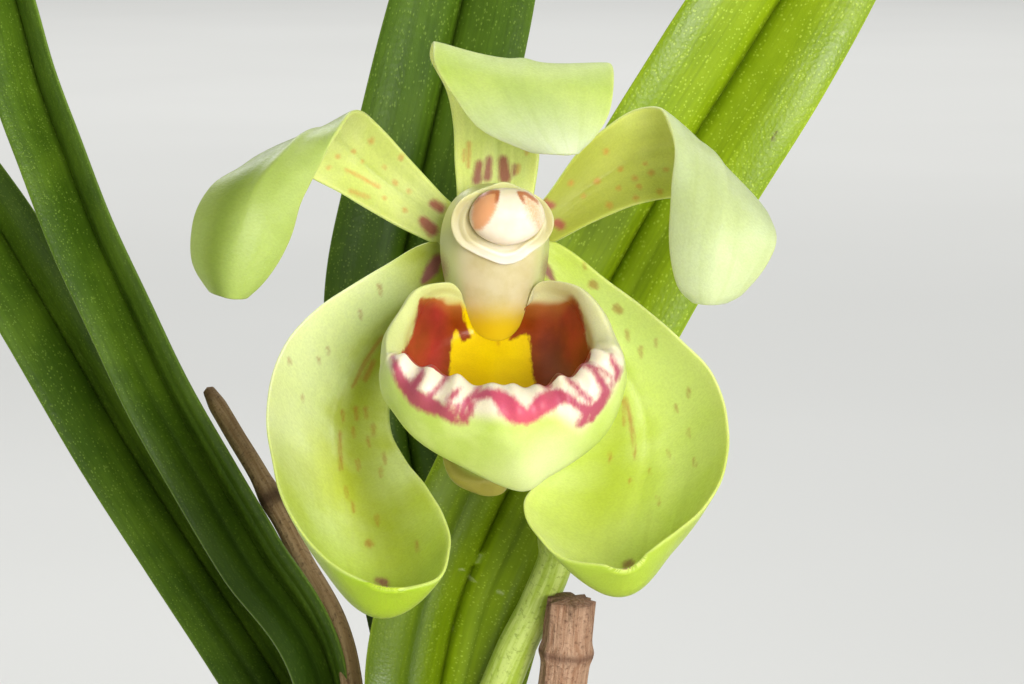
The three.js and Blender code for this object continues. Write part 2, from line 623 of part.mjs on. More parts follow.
// The column: slices from its foot at the back, out to its hood and down into the hollow for the
// cap. Each slice is an egg that narrows downwards by its share of taper.
const COLUMN_SLICES = [
  { at: [-0.4, -1.0, -0.9], rx: 3.6, ry: 3.4, taper: 0 },
  { at: [-0.5, -1.7, 0.5], rx: 4.75, ry: 5.0, taper: 0.1 },
  { at: [-0.4, -2.5, 2.8], rx: 4.3, ry: 6.2, taper: 0.3 },
  { at: [-0.3, -2.4, 4.6], rx: 4.0, ry: 6.1, taper: 0.3 },
  { at: [-0.1, -1.6, 6.3], rx: 4.1, ry: 5.3, taper: 0.22 },
  { at: [0.1, -0.6, 7.5], rx: 4.15, ry: 4.3, taper: 0.12 },
  { at: [0.3, 0.3, 8.2], rx: 4.2, ry: 3.5, taper: 0.05 },
  { at: [0.4, 0.5, 8.9], rx: 4.65, ry: 3.75, taper: 0 },
  { at: [0.45, 0.6, 10.0], rx: 4.45, ry: 3.5, taper: 0 },
  { at: [0.5, 0.65, 10.4], rx: 3.95, ry: 3.1, taper: 0 },
  { at: [0.55, 0.85, 9.5], rx: 3.55, ry: 2.85, taper: 0 },
  { at: [0.6, 0.95, 8.2], rx: 2.4, ry: 1.8, taper: 0 },
];
const COLUMN_BLUNT = 0.82;

function columnGeometry() {
  const list = COLUMN_SLICES.map(({ at, rx, ry, taper }) => [...at, rx, ry, taper]);
  const rings = [];
  for (let i = 0; i <= 15; i += 1) {
    const [x, y, z, rx, ry, taper] = along(list, i / 15);
    rings.push(
      Array.from({ length: 20 }, (_, k) => {
        const turn = (2 * Math.PI * k) / 20;
        const across = Math.sign(Math.cos(turn)) * Math.abs(Math.cos(turn)) ** COLUMN_BLUNT;
        return [x + rx * (1 + taper * Math.sin(turn)) * across, y + ry * Math.sin(turn), z];
      })
    );
  }
  return loft(rings);
}

const ANTHER_CENTRE = [0.6, 1.0, 10.5];
const ANTHER_RADII = [3.1, 2.4, 1.5];

function antherGeometry() {
  const sphere = new THREE.SphereGeometry(1, 14, 10);
  const ball = mergeVertices(bare(sphere), 1e-4);
  const p = ball.attributes.position;
  for (let i = 0; i < p.count; i += 1) {
    const groove = 1 - 0.12 * Math.exp(-(p.getX(i) ** 2) / 0.02) * Math.max(0, p.getZ(i));
    p.setXYZ(
      i,
      ANTHER_CENTRE[0] + ANTHER_RADII[0] * p.getX(i),
      ANTHER_CENTRE[1] + ANTHER_RADII[1] * p.getY(i),
      ANTHER_CENTRE[2] + ANTHER_RADII[2] * p.getZ(i) * groove
    );
  }
  return ball;
}

// Flower stalk, given in the flower's frame, from the leaf axil to the back of the flower.
const STALK_PATH = [
  [-3.4, -67, -23], [-3.2, -58, -24.5], [-2.4, -49, -23.5], [0.9, -39.5, -20.5], [3.6, -33.7, -18],
  [5.5, -28.0, -16], [5.9, -19.7, -15], [3.2, -8.7, -13], [1.1, -2.6, -9], [0.1, -0.8, -5],
  [-0.3, -0.8, -2.9],
];
const STUB_PATH = [[0.5, -66, -24], [2.6, -55, -21], [4.6, -47, -18], [5.8, -40.5, -15.6], [6.4, -33.2, -14]];

function stalkGeometry() {
  const ovary = (u) => 0.5 * smooth(0.8, 0.93, u) + 0.5 * smooth(0.95, 1, u);
  const bract = (u, at) => 0.45 * smooth(at - 0.03, at, u) * (1 - smooth(at, at + 0.012, u));
  const radius = (u) => STALK_RADIUS * (1.1 - 0.22 * smooth(0, 0.5, u)) + ovary(u) + bract(u, 0.22) + bract(u, 0.5);
  const ribs = (u, turn) => 1 + 0.07 * smooth(0.55, 0.8, u) * Math.cos(3 * turn);
  return bar(STALK_PATH, 24, 10, radius, ribs);
}

function stubGeometry() {
  const random = seeded(5);
  const frays = Array.from({ length: 12 }, () => 0.7 + 0.45 * random());
  const radius = (u) => STUB_RADIUS * (0.85 + 0.15 * u) + 0.3 * Math.exp(-((u - 0.83) ** 2) / 0.0006);
  const shape = (u, turn) => {
    const k = Math.round((turn / (2 * Math.PI)) * 12) % 12;
    return 1 + (frays[k] - 1) * (0.25 + 0.75 * smooth(0.9, 1, u));
  };
  return bar(STUB_PATH, 13, 12, radius, shape);
}

// An older stalk on the left, green below and dry above, in the plant's own frame.
const SPIKE_PATH = [[-3.4, -1.4, 103], [-6.6, 0.2, 116], [-9.1, 9.1, 131.7], [-13.8, 16.3, 139.6],
  [-17.7, 19.3, 146.6], [-20.4, 20.9, 150.8], [-23.3, 22.6, 155.4]];

function spikeGeometry() {
  const radius = (u) => 1.15 - 0.25 * u + 0.25 * Math.exp(-((u - 0.62) ** 2) / 0.0012) - 0.3 * smooth(0.93, 1, u);
  return bar(SPIKE_PATH, 14, 8, radius);
}

// ---------- the whole ----------

const flowerFrame = new THREE.Matrix4()
  .makeRotationX(THREE.MathUtils.degToRad(90 - FLOWER_NOD))
  .setPosition(...FLOWER_CENTRE);
const placed = (geometry) => geometry.applyMatrix4(flowerFrame);

const plant = new THREE.Group();
plant.name = "potted_orchid";

function add(name, geometry, color, roughness) {
  const material = new THREE.MeshStandardMaterial({ color, roughness, metalness: 0 });
  const mesh = new THREE.Mesh(geometry, material);
  mesh.name = name;
  plant.add(mesh);
}

const stem = stemGeometry();
const stemRoom = stemGeometry(GAP);
const roots = ROOTS.map((path) => cut(rootGeometry(path), stemRoom));
const rootRooms = ROOTS.map((path) => rootGeometry(path, GAP));

add("pot", potGeometry(), "#b5643f", 0.9);
add("bark", barkGeometry([stemRoom, ...rootRooms]), "#5b3c27", 0.95);
add("stem", stem, "#8b9a48", 0.6);
roots.forEach((geometry, i) => add(`root_${i + 1}`, geometry, "#b9bda6", 0.75));

const stalk = placed(stalkGeometry());
const stub = placed(stubGeometry());
const stalkRoom = grown(stalk, GAP);
const stubRoom = grown(stub, GAP);
const spike = spikeGeometry();
const spikeRoom = grown(spike, GAP);
LEAVES.forEach((leaf, i) => {
  const body = leafGeometry(leaf, i === 0 ? 8 : 6);
  add(`leaf_${i + 1}`, cut(body, stemRoom, stalkRoom, stubRoom, spikeRoom), "#7d9a1d", 0.5);
});
add("flower_stalk", cut(stalk, stemRoom, stubRoom), "#a9bd4a", 0.5);
add("old_spike_stub", cut(stub, stemRoom), "#b98b6b", 0.9);
add("old_spike_left", cut(spike, stemRoom), "#9a7a52", 0.9);

const column = placed(columnGeometry());
const columnRoom = grown(column, GAP);
const lip = placed(lipGeometry());
const lipRoom = grown(lip, GAP);
for (const [name, rails] of Object.entries(TEPALS)) {
  const color = name.startsWith("lateral") ? "#b9d153" : "#cfe195";
  const body = placed(tepalGeometry(rails, 17, 8));
  add(name, cut(body, columnRoom, lipRoom, stalkRoom), color, 0.45);
}
add("lip", cut(lip, columnRoom), "#d8e2a0", 0.4);
add("column", column, "#f2ebd2", 0.4);
add("anther_cap", placed(antherGeometry()), "#fbf2e4", 0.35);

export default plant;
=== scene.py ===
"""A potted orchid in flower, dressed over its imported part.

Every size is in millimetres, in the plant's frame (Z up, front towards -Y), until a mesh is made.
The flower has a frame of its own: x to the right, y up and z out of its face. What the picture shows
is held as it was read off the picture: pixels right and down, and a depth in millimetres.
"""

import math
from functools import partial

import bmesh
import bpy
import numpy as np
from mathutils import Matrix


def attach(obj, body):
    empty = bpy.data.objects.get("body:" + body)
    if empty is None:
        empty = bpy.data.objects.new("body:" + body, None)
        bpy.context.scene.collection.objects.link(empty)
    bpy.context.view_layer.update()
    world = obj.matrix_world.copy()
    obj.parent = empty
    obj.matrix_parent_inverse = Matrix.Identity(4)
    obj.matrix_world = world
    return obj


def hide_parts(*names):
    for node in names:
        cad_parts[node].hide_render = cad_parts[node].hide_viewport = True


MM = 0.001
TURN = 2 * math.pi

FLOWER_CENTRE = (6.0, -21.0, 176.0)
FLOWER_NOD = math.radians(8)
EYE = (1.05, -9.84, 350.0)  # the eye in front of the flower, in the flower's frame
LENS = 140
SENSOR = 36
PICTURE = (1024, 684)  # its width and height in pixels
PIXEL = SENSOR / (LENS * PICTURE[0])  # what a pixel spans at a distance of one

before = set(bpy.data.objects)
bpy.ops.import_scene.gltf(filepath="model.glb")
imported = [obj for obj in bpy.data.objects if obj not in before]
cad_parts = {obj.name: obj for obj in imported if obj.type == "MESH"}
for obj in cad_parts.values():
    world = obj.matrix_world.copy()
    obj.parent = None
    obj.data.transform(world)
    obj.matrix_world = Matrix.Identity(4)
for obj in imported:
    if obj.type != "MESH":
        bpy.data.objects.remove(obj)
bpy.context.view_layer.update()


# Camera, and places read off the picture


def placed(points):
    """Points of the flower's frame in the plant's."""
    x, y, z = np.moveaxis(np.asarray(points, float), -1, 0)
    nod, rise = math.cos(FLOWER_NOD), math.sin(FLOWER_NOD)
    cx, cy, cz = FLOWER_CENTRE
    return np.stack([cx + x, cy + y * rise - z * nod, cz + y * nod + z * rise], -1)


def in_flower(points):
    """Points of the plant's frame in the flower's."""
    x, y, z = np.moveaxis(np.asarray(points, float) - FLOWER_CENTRE, -1, 0)
    nod, rise = math.cos(FLOWER_NOD), math.sin(FLOWER_NOD)
    return np.stack([x, y * rise + z * nod, z * rise - y * nod], -1)


def read(points, digits=1):
    """Places of the picture in the flower's frame, to that many digits of a millimetre.

    Each is (right, down, depth): pixels, and millimetres out of the flower's face.
    """
    found = []
    for right, down, depth in points:
        scale = PIXEL * (EYE[2] - depth)
        x, y = (right - PICTURE[0] / 2) * scale + EYE[0], (PICTURE[1] / 2 - down) * scale + EYE[1]
        found.append((round(x, digits), round(y, digits), depth))
    return found


def read_behind(points):
    """Places of the picture in the plant's frame, to a tenth of a millimetre."""
    return [tuple(round(float(part), 1) for part in place) for place in placed(read(points, 9))]


def drawn(lines, crop=(0, 0, 1)):
    """Marks of the picture on the plane z = 0: lists of (right, down) or (right, down, width) in pixels.

    They may be read off a crop of the picture, given by its left, its top and its enlargement.
    """
    left, top, zoom = crop
    scale = PIXEL * EYE[2]
    found = []
    for line in lines:
        places = read([(left + right / zoom, top + down / zoom, 0) for right, down, *_ in line], 2)
        widths = [[round(width / zoom * scale, 2) for width in wide] for _, _, *wide in line]
        found.append([(x, y, *wide) for (x, y, _), wide in zip(places, widths)])
    return found


camera = bpy.data.objects.new("camera", bpy.data.cameras.new("camera"))
bpy.context.scene.collection.objects.link(camera)
camera.location = placed(EYE) * MM
camera.rotation_euler = (math.radians(90) - FLOWER_NOD, 0, 0)
camera.data.lens = LENS
camera.data.sensor_width = SENSOR
camera.data.clip_start = 0.01
bpy.context.scene.camera = camera


# Curves and fields


def smooth(start, end, x):
    t = np.clip((np.asarray(x, float) - start) / (end - start), 0, 1)
    return t * t * (3 - 2 * t)


def bump(x, middle, width):
    return np.exp(-(((x - middle) / width) ** 2))


def unit(vectors):
    return vectors / np.maximum(np.linalg.norm(vectors, axis=-1, keepdims=True), 1e-12)


def along(points, u, closed=False):
    """Places on the uniform Catmull-Rom curve through the points, for an array u from 0 to 1.

    The points may be one list, or one list for each u: an array of (point, u, 3).
    """
    points = np.asarray(points, float)
    u = np.atleast_1d(np.asarray(u, float))
    count = len(points)
    each = np.arange(len(u))
    if closed:
        at = np.mod(u, 1) * count
        start = np.minimum(np.floor(at).astype(int), count - 1)
    else:
        points = np.concatenate([2 * points[:1] - points[1:2], points, 2 * points[-1:] - points[-2:-1]])
        at = np.clip(u, 0, 1) * (count - 1)
        start = np.minimum(np.floor(at).astype(int), count - 2)
    t = (at - start)[:, None]

    def pick(k):
        k = np.mod(k, count) if closed else k + 1
        return points[k, each] if points.ndim == 3 else points[k]

    a, b, c, d = (pick(start + k) for k in (-1, 0, 1, 2))
    cubic = (3 * b - a - 3 * c + d) * t**3
    return 0.5 * (2 * b + (c - a) * t + (2 * a - 5 * b + 4 * c - d) * t**2 + cubic)


def ripple(points, size, seed):
    """Soft noise of about that size, between -1 and 1."""
    random = np.random.default_rng(seed)
    total = 0
    for _ in range(7):
        way = unit(random.normal(size=3)) * TURN / (size * random.uniform(0.7, 1.5))
        total = total + np.sin(points @ way + random.uniform(0, TURN))
    return total / 4


def seen(points):
    """Where the eye in front of the flower sees points of its frame, on the plane z = 0."""
    eye = np.array(EYE)
    reach = eye[2] / (eye[2] - points[..., 2:])
    return eye[:2] + (points[..., :2] - eye[:2]) * reach


def streaks(at, lines):
    """How far inside the nearest streak each place lies. A streak is a list of (x, y, width)."""
    best = np.full(len(at), -9.0)
    for line in lines:
        line = np.asarray(line, float)
        if len(line) == 1:
            line = np.vstack([line, line + (0.01, 0, 0)])
        for (ax, ay, aw), (bx, by, bw) in zip(line[:-1], line[1:]):
            step = np.array([bx - ax, by - ay])
            share = np.clip(((at - (ax, ay)) @ step) / (step @ step), 0, 1)
            away = np.linalg.norm(at - (ax, ay) - share[:, None] * step, axis=1)
            best = np.maximum(best, 0.5 * (aw + (bw - aw) * share) - away)
    return best


def patch(at, outline):
    """How far inside an outline each place lies, and negative outside it."""
    outline = np.asarray(outline, float)
    inside = np.zeros(len(at), bool)
    nearest = np.full(len(at), 99.0)
    for a, b in zip(outline, np.roll(outline, -1, axis=0)):
        step = b - a
        share = np.clip(((at - a) @ step) / (step @ step), 0, 1)
        nearest = np.minimum(nearest, np.linalg.norm(at - a - share[:, None] * step, axis=1))
        crosses = (a[1] > at[:, 1]) != (b[1] > at[:, 1])
        rise = step[1] if abs(step[1]) > 1e-9 else 1e-9
        inside ^= crosses & (at[:, 0] < a[0] + (at[:, 1] - a[1]) * step[0] / rise)
    return np.where(inside, nearest, -nearest)


# Meshes


def finished(name, bm, finish, nodes):
    """Makes the piece, which stands for the given solids of the part."""
    for face in bm.faces:
        face.smooth = True
    mesh = bpy.data.meshes.new(name)
    bm.to_mesh(mesh)
    bm.free()
    piece = bpy.data.objects.new(name, mesh)
    bpy.context.scene.collection.objects.link(piece)
    mesh.materials.append(finish)
    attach(piece, "root")
    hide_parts(*nodes)
    return piece


def wrapped(around, lengthwise, place, poles=True):
    """A closed skin from one grid. place(s, t) gives each point, with s round it and t along it.

    It may also give fields, which become attributes. The seam and the two ends are welded.
    """
    bm = bmesh.new()
    bmesh.ops.create_grid(bm, x_segments=around, y_segments=lengthwise, size=1)
    grid = np.array([vert.co for vert in bm.verts], float)
    s, t = (grid[:, 0] + 1) / 2, (grid[:, 1] + 1) / 2
    s, t = np.where(s > 1 - 1e-6, 0.0, s), np.clip(t, 0, 1)
    points, fields = place(s, t)
    if poles:
        for end in (t < 1e-6, t > 1 - 1e-6):
            points[end] = points[end].mean(axis=0)
    layers = {}
    for name, values in fields.items():
        kind = bm.verts.layers.float_vector if values.ndim == 2 else bm.verts.layers.float
        layers[name] = kind.new(name)
    for i, vert in enumerate(bm.verts):
        vert.co = points[i] * MM
        for name, values in fields.items():
            vert[layers[name]] = values[i]
    bmesh.ops.remove_doubles(bm, verts=bm.verts, dist=1e-6)
    bmesh.ops.recalc_face_normals(bm, faces=bm.faces)
    return bm


BLADE_ROUNDING = 0.45  # a power: 1 makes the section an ellipse, and less makes it fuller
BLADE_END = 0.45  # how much of a blade's length each rounded end takes, in millimetres


def blade(rows, columns, surface, thickness, length, width, relief=None, marks=None):
    """A thin blade with round edges about a middle surface(u, v), v from -1 to 1 across it."""

    def place(s, t):
        v, side = -np.cos(TURN * s), np.sin(TURN * s)
        middle = surface(t, v)
        tiny = 1e-3
        across = surface(t, v + tiny) - surface(t, v - tiny)
        lengthwise = surface(np.minimum(t + tiny, 1), v) - surface(np.maximum(t - tiny, 0), v)
        normal = unit(np.cross(across, lengthwise))
        reach = BLADE_END / length
        ends = np.clip(np.minimum(t, 1 - t) / reach, 0, 1)
        ends = np.sqrt(1 - (1 - ends) ** 2)
        half = 0.5 * thickness(t, v) * np.sign(side) * np.abs(side) ** BLADE_ROUNDING * ends
        lift = relief(t, v, side) if relief else 0
        points = middle + normal * (half + lift)[:, None]
        spread = np.stack([v * width / 2, t * length, np.clip(2 * side, -1, 1)], -1)
        fields = {"spread": spread}
        if marks:
            fields.update(marks(t, v, side, middle))
        return points, fields

    return wrapped(2 * columns, rows, place, poles=False)


def rod(around, lengthwise, path, radius, shape=None, marks=None):
    """A round bar along a path. Its section keeps its turn from ring to ring."""
    steps = np.linspace(0, 1, 401)
    centre = along(path, steps)
    forward = unit(along(path, np.minimum(steps + 0.01, 1)) - along(path, np.maximum(steps - 0.01, 0)))
    sides = []
    side = np.array([0, 1, 0.01])
    for ahead in forward:
        side = unit(side - ahead * (side @ ahead))
        sides.append(side)
    sides = np.array(sides)
    length = np.linalg.norm(np.diff(centre, axis=0), axis=1).sum()

    def place(s, t):
        at = lambda table: np.stack([np.interp(t, steps, column) for column in table.T], -1)
        here, side, ahead = at(centre), unit(at(sides)), unit(at(forward))
        other = np.cross(ahead, side)
        turn = TURN * s
        wide = radius(t) * (shape(t, turn) if shape else 1)
        points = here + wide[:, None] * (side * np.cos(turn)[:, None] + other * np.sin(turn)[:, None])
        round_about = np.stack([np.cos(turn) * radius(t), np.sin(turn) * radius(t), t * length], -1)
        fields = {"spread": round_about, "share": t}
        if marks:
            fields.update(marks(t, turn))
        return points, fields

    return wrapped(around, lengthwise, place)


# Materials


def colour(code):
    """The linear colour of an sRGB hex value."""
    parts = [int(code[i : i + 2], 16) / 255 for i in (1, 3, 5)]
    return (*[c / 12.92 if c <= 0.04045 else ((c + 0.055) / 1.055) ** 2.4 for c in parts], 1)


def add(tree, kind, inputs=(), out=0, **settings):
    """Adds a node with its settings and links, and gives one of its outputs."""
    made = tree.nodes.new(kind)
    for name, value in settings.items():
        setattr(made, name, value)
    for key, value in dict(inputs).items():
        if isinstance(value, bpy.types.NodeSocket):
            tree.links.new(value, made.inputs[key])
        else:
            made.inputs[key].default_value = colour(value) if isinstance(value, str) else value
    return made.outputs[out] if made.outputs else None


def material(name):
    made = bpy.data.materials.new(name)
    made.use_nodes = True
    made.node_tree.nodes.clear()
    return made, partial(add, made.node_tree)


CELL_RADIUS = (1.0, 1.1, 0.35)  # light goes further in red and green than in blue


def spread_of(n):
    """Where a point lies on its piece, in millimetres across it and along it."""
    return n("ShaderNodeAttribute", {}, out=1, attribute_name="spread")


def own(n, name):
    """One of the piece's own numbers."""
    return n("ShaderNodeAttribute", {}, out=2, attribute_name=name)


def noise(n, at, scale, detail, rough=0.5):
    return n("ShaderNodeTexNoise", {"Vector": at, "Scale": scale, "Detail": detail, "Roughness": rough})


def stretched(n, at, *scale):
    return n("ShaderNodeMapping", {"Vector": at, "Scale": scale})


def ramp(n, value, low, high, top=1.0, bottom=0.0):
    """Runs softly from bottom to top while the value goes from low to high."""
    ends = {0: value, 1: low, 2: high, 3: bottom, 4: top}
    return n("ShaderNodeMapRange", ends, interpolation_type="SMOOTHSTEP")


def mixed(n, share, under, over, blend="MIX"):
    return n("ShaderNodeMix", {0: share, 6: under, 7: over}, out=2, data_type="RGBA", blend_type=blend)


def coated(
    made, n, hue, rough, shine, normal, bend=1.42, soak=0.0, depth=0.0009, reach=CELL_RADIUS, sheen=0.0
):
    """Closes a material: bend is its index of refraction, soak the share of light that goes in."""
    look = {"Base Color": hue, "Roughness": rough, "IOR": bend, "Specular IOR Level": shine, "Normal": normal}
    inside = {"Subsurface Weight": soak, "Subsurface Radius": reach, "Subsurface Scale": depth}
    surface = n("ShaderNodeBsdfPrincipled", {**look, **inside, "Sheen Weight": sheen})
    n("ShaderNodeOutputMaterial", {"Surface": surface})
    return made


def petal_wax(name, back, back_pale, back_tip, front, front_pale, front_tip, painted_shade_hue, vein_hue, spot, flush):
    """Petal tissue: a thin moist leaf under a matt wax, so light soaks in and shows through it."""
    made, n = material(name)
    spread = spread_of(n)
    inside, share, shade, margin = (own(n, key) for key in ("inside", "share", "shade", "margin"))
    # Broad clouds of tone, a few millimetres wide
    clouds = noise(n, spread, 0.2, 3.0, 0.5)
    tone = ramp(n, clouds, 0.3, 0.7)
    # Veins run lengthwise, about 1.1 mm apart
    drawn = stretched(n, spread, 0.9, 0.05, 1.0)
    veins = n("ShaderNodeTexNoise", {"Vector": drawn, "Scale": 1.0, "Detail": 2.0, "Distortion": 0.3})
    vein = ramp(n, veins, 0.40, 0.64, 0.12)
    # The skin's cells, which sparkle a little: drawn at 0.18 mm, coarser than life, so they show
    cells = noise(n, spread, 5.5, 2.0, 0.6)
    cell = n("ShaderNodeMapRange", {0: cells, 1: 0.35, 2: 0.65})

    ground = mixed(n, tone, back, back_pale)
    at_tip = ramp(n, share, 0.7, 1.0)
    ground = mixed(n, at_tip, ground, back_tip)
    lining = mixed(n, tone, front, front_pale)
    lower = ramp(n, share, 0.5, 0.85)
    lining = mixed(n, lower, lining, front_tip)
    ground = mixed(n, inside, ground, lining)
    ground = mixed(n, vein, ground, vein_hue)
    # Painted shade: the laterals' inner halves, the left petal's fold shadow and two of the feet
    ground = mixed(n, shade, ground, painted_shade_hue)
    # Pale margins, and painted light over the laterals' outer halves
    ground = mixed(n, margin, ground, front_pale)

    # Pigment marks, with feathered edges drawn out along the veins
    fray = stretched(n, spread, 3.6, 1.6, 1.0)
    feather = noise(n, fray, 1.0, 3.0, 0.6)
    feather = n("ShaderNodeMapRange", {0: feather, 1: 0.25, 2: 0.75, 3: -0.1, 4: 0.1})
    for field, pigment, soft, strength in (("spots", spot, 0.24, 0.62), ("flush", flush, 0.3, 0.85)):
        depth = own(n, field)
        depth = n("ShaderNodeMath", {0: depth, 1: feather}, operation="ADD")
        mark = ramp(n, depth, -soft, soft, strength)
        ground = mixed(n, mark, ground, pigment)
    sparkle = n("ShaderNodeMapRange", {0: cell, 3: 0.95, 4: 1.04})
    ground = mixed(n, 1.0, ground, sparkle, "MULTIPLY")

    relief = n("ShaderNodeMath", {0: veins, 1: 0.5, 2: cells}, operation="MULTIPLY_ADD")
    normal = n("ShaderNodeBump", {"Height": relief, "Strength": 0.22, "Distance": 0.0002})
    gloss = n("ShaderNodeMapRange", {0: cell, 3: 0.50, 4: 0.36})
    return coated(made, n, ground, gloss, 0.36, normal, soak=0.5, depth=0.001, sheen=0.06)


def leaf_skin(name, base, deep, pale, fleck, fleck_strength):
    """Leathery leaf under a satin cuticle, freckled with pale dots about a sixth of a millimetre wide."""
    made, n = material(name)
    spread = spread_of(n)
    groove = own(n, "groove")
    margin = own(n, "margin")
    clouds = noise(n, spread, 0.11, 4.0, 0.6)
    tone = ramp(n, clouds, 0.3, 0.7)
    # Fibres under the skin, 0.4 mm apart and long
    drawn = stretched(n, spread, 2.4, 0.05, 1.0)
    fibres = noise(n, drawn, 1.0, 2.0)
    fibre = ramp(n, fibres, 0.38, 0.66)
    # Dots 0.3 to 0.4 mm apart, some of them run together
    cells = stretched(n, spread, 3.0, 2.5, 1.0)
    dots = n("ShaderNodeTexVoronoi", {"Vector": cells, "Scale": 1.0, "Randomness": 1.0})
    size = noise(n, spread, 1.3, 3.0, 0.7)
    size = n("ShaderNodeMapRange", {0: size, 1: 0.3, 2: 0.7, 3: -0.1, 4: 0.08})
    near = n("ShaderNodeMath", {0: dots, 1: size}, operation="SUBTRACT")
    fleck_mask = ramp(n, near, 0.33, 0.14, fleck_strength)

    ground = mixed(n, tone, base, pale)
    dim = n("ShaderNodeMath", {0: fibre, 1: 0.22}, operation="MULTIPLY")
    ground = mixed(n, dim, ground, deep)
    ground = mixed(n, fleck_mask, ground, fleck)
    # Painted shade along the folds and over the foot
    ground = mixed(n, groove, ground, deep)
    ground = mixed(n, margin, ground, fleck)
    frayed = n("ShaderNodeMath", {0: size, 1: 1.6}, operation="MULTIPLY")
    for field, crust in (("flaws", "#B9C08A"), ("rust", "#4A2A14")):
        flaw = own(n, field)
        flaw = n("ShaderNodeMath", {0: flaw, 1: frayed}, operation="ADD")
        flaw = ramp(n, flaw, -0.1, 0.2, 0.75)
        ground = mixed(n, flaw, ground, crust)

    relief = n("ShaderNodeMath", {0: fibres, 1: 0.4, 2: dots}, operation="MULTIPLY_ADD")
    normal = n("ShaderNodeBump", {"Height": relief, "Strength": 0.12, "Distance": 0.0002})
    gloss = n("ShaderNodeMapRange", {0: clouds, 1: 0.3, 2: 0.7, 3: 0.34, 4: 0.44})
    return coated(made, n, ground, gloss, 0.34, normal, bend=1.45, soak=0.18)


def plain_bar(name, base, deep, pale, rough, thread, soak, relief_strength):
    """Stalk, root and stem skins: fibres run lengthwise under a finer grain."""
    made, n = material(name)
    spread = spread_of(n)
    stain = own(n, "stain")
    drawn = stretched(n, spread, 1 / thread, 1 / thread, 0.12)
    fibres = noise(n, drawn, 1.0, 4.0, 0.6)
    fibre = ramp(n, fibres, 0.36, 0.64)
    grain = noise(n, spread, 2.2, 4.0, 0.65)
    ground = mixed(n, fibre, base, pale)
    dark = ramp(n, grain, 0.5, 0.72, 0.7)
    ground = mixed(n, dark, ground, deep)
    ground = mixed(n, stain, ground, deep)
    relief = n("ShaderNodeMath", {0: fibres, 1: 1.0, 2: grain}, operation="MULTIPLY_ADD")
    normal = n("ShaderNodeBump", {"Height": relief, "Strength": relief_strength, "Distance": 0.0004})
    return coated(made, n, ground, rough, 0.35, normal, bend=1.45, soak=soak)


def lip_wax():
    """Lip tissue: thick, glistening and heavily pigmented."""
    made, n = material("glistening lip tissue")
    spread = spread_of(n)
    keys = "maroon ruby fade yolk magenta blush rim cheek boss spur tongues throat"
    fields = {key: own(n, key) for key in keys.split()}
    clouds = noise(n, spread, 0.3, 3.0)
    tone = ramp(n, clouds, 0.3, 0.7)
    # Fine warts, which glisten: drawn at 0.14 mm, coarser than life
    cells = noise(n, spread, 7.0, 3.0, 0.65)
    drawn = stretched(n, spread, 2.6, 1.2, 1.2)
    feather = noise(n, drawn, 1.0, 4.0, 0.65)
    feather = n("ShaderNodeMapRange", {0: feather, 1: 0.2, 2: 0.8, 3: -0.2, 4: 0.2})

    ground = mixed(n, tone, "#B9CE58", "#CBDC76")
    # Over the lip's green: the spur's tan darkened with painted shade, a painted highlight, the lobes' cream
    # painted paler on the right as painted light, and the cream rim
    for field, hue in (("spur", "#A59C44"), ("boss", "#DCE4A2"), ("cheek", "#DEDCA6"), ("rim", "#F0E4C6")):
        ground = mixed(n, fields[field], ground, hue)
    yellow = mixed(n, tone, "#DDBE00", "#E8CC00")
    ground = mixed(n, fields["yolk"], ground, yellow)
    brown = mixed(n, tone, "#6E1A06", "#94340E")
    wine = mixed(n, tone, "#8A0C16", "#AC1A24")
    wine = mixed(n, fields["ruby"], brown, wine)
    wine = mixed(n, fields["fade"], wine, "#B4702E")
    pink = mixed(n, fields["blush"], "#A82C54", "#CC3260")
    for field, low, high, pigment, strength in (
        ("maroon", -0.12, 0.22, wine, 0.97),
        ("tongues", -0.2, 0.25, "#A8481A", 0.8),
        ("magenta", -0.34, 0.3, pink, 0.92),
    ):
        depth = n("ShaderNodeMath", {0: fields[field], 1: feather}, operation="ADD")
        mark = ramp(n, depth, low, high, strength)
        if field == "maroon":
            thin = ramp(n, fields["fade"], 0.55, 1.0, 0.0, 1.0)
            mark = n("ShaderNodeMath", {0: mark, 1: thin}, operation="MULTIPLY")
        ground = mixed(n, mark, ground, pigment)
    sparkle = n("ShaderNodeMapRange", {0: cells, 1: 0.3, 2: 0.7, 3: 0.94, 4: 1.05})
    ground = mixed(n, 1.0, ground, sparkle, "MULTIPLY")
    wet = n("ShaderNodeMapRange", {0: fields["throat"], 3: 0.38, 4: 0.2})
    normal = n("ShaderNodeBump", {"Height": cells, "Strength": 0.16, "Distance": 0.0002})
    return coated(made, n, ground, wet, 0.45, normal, soak=0.4)


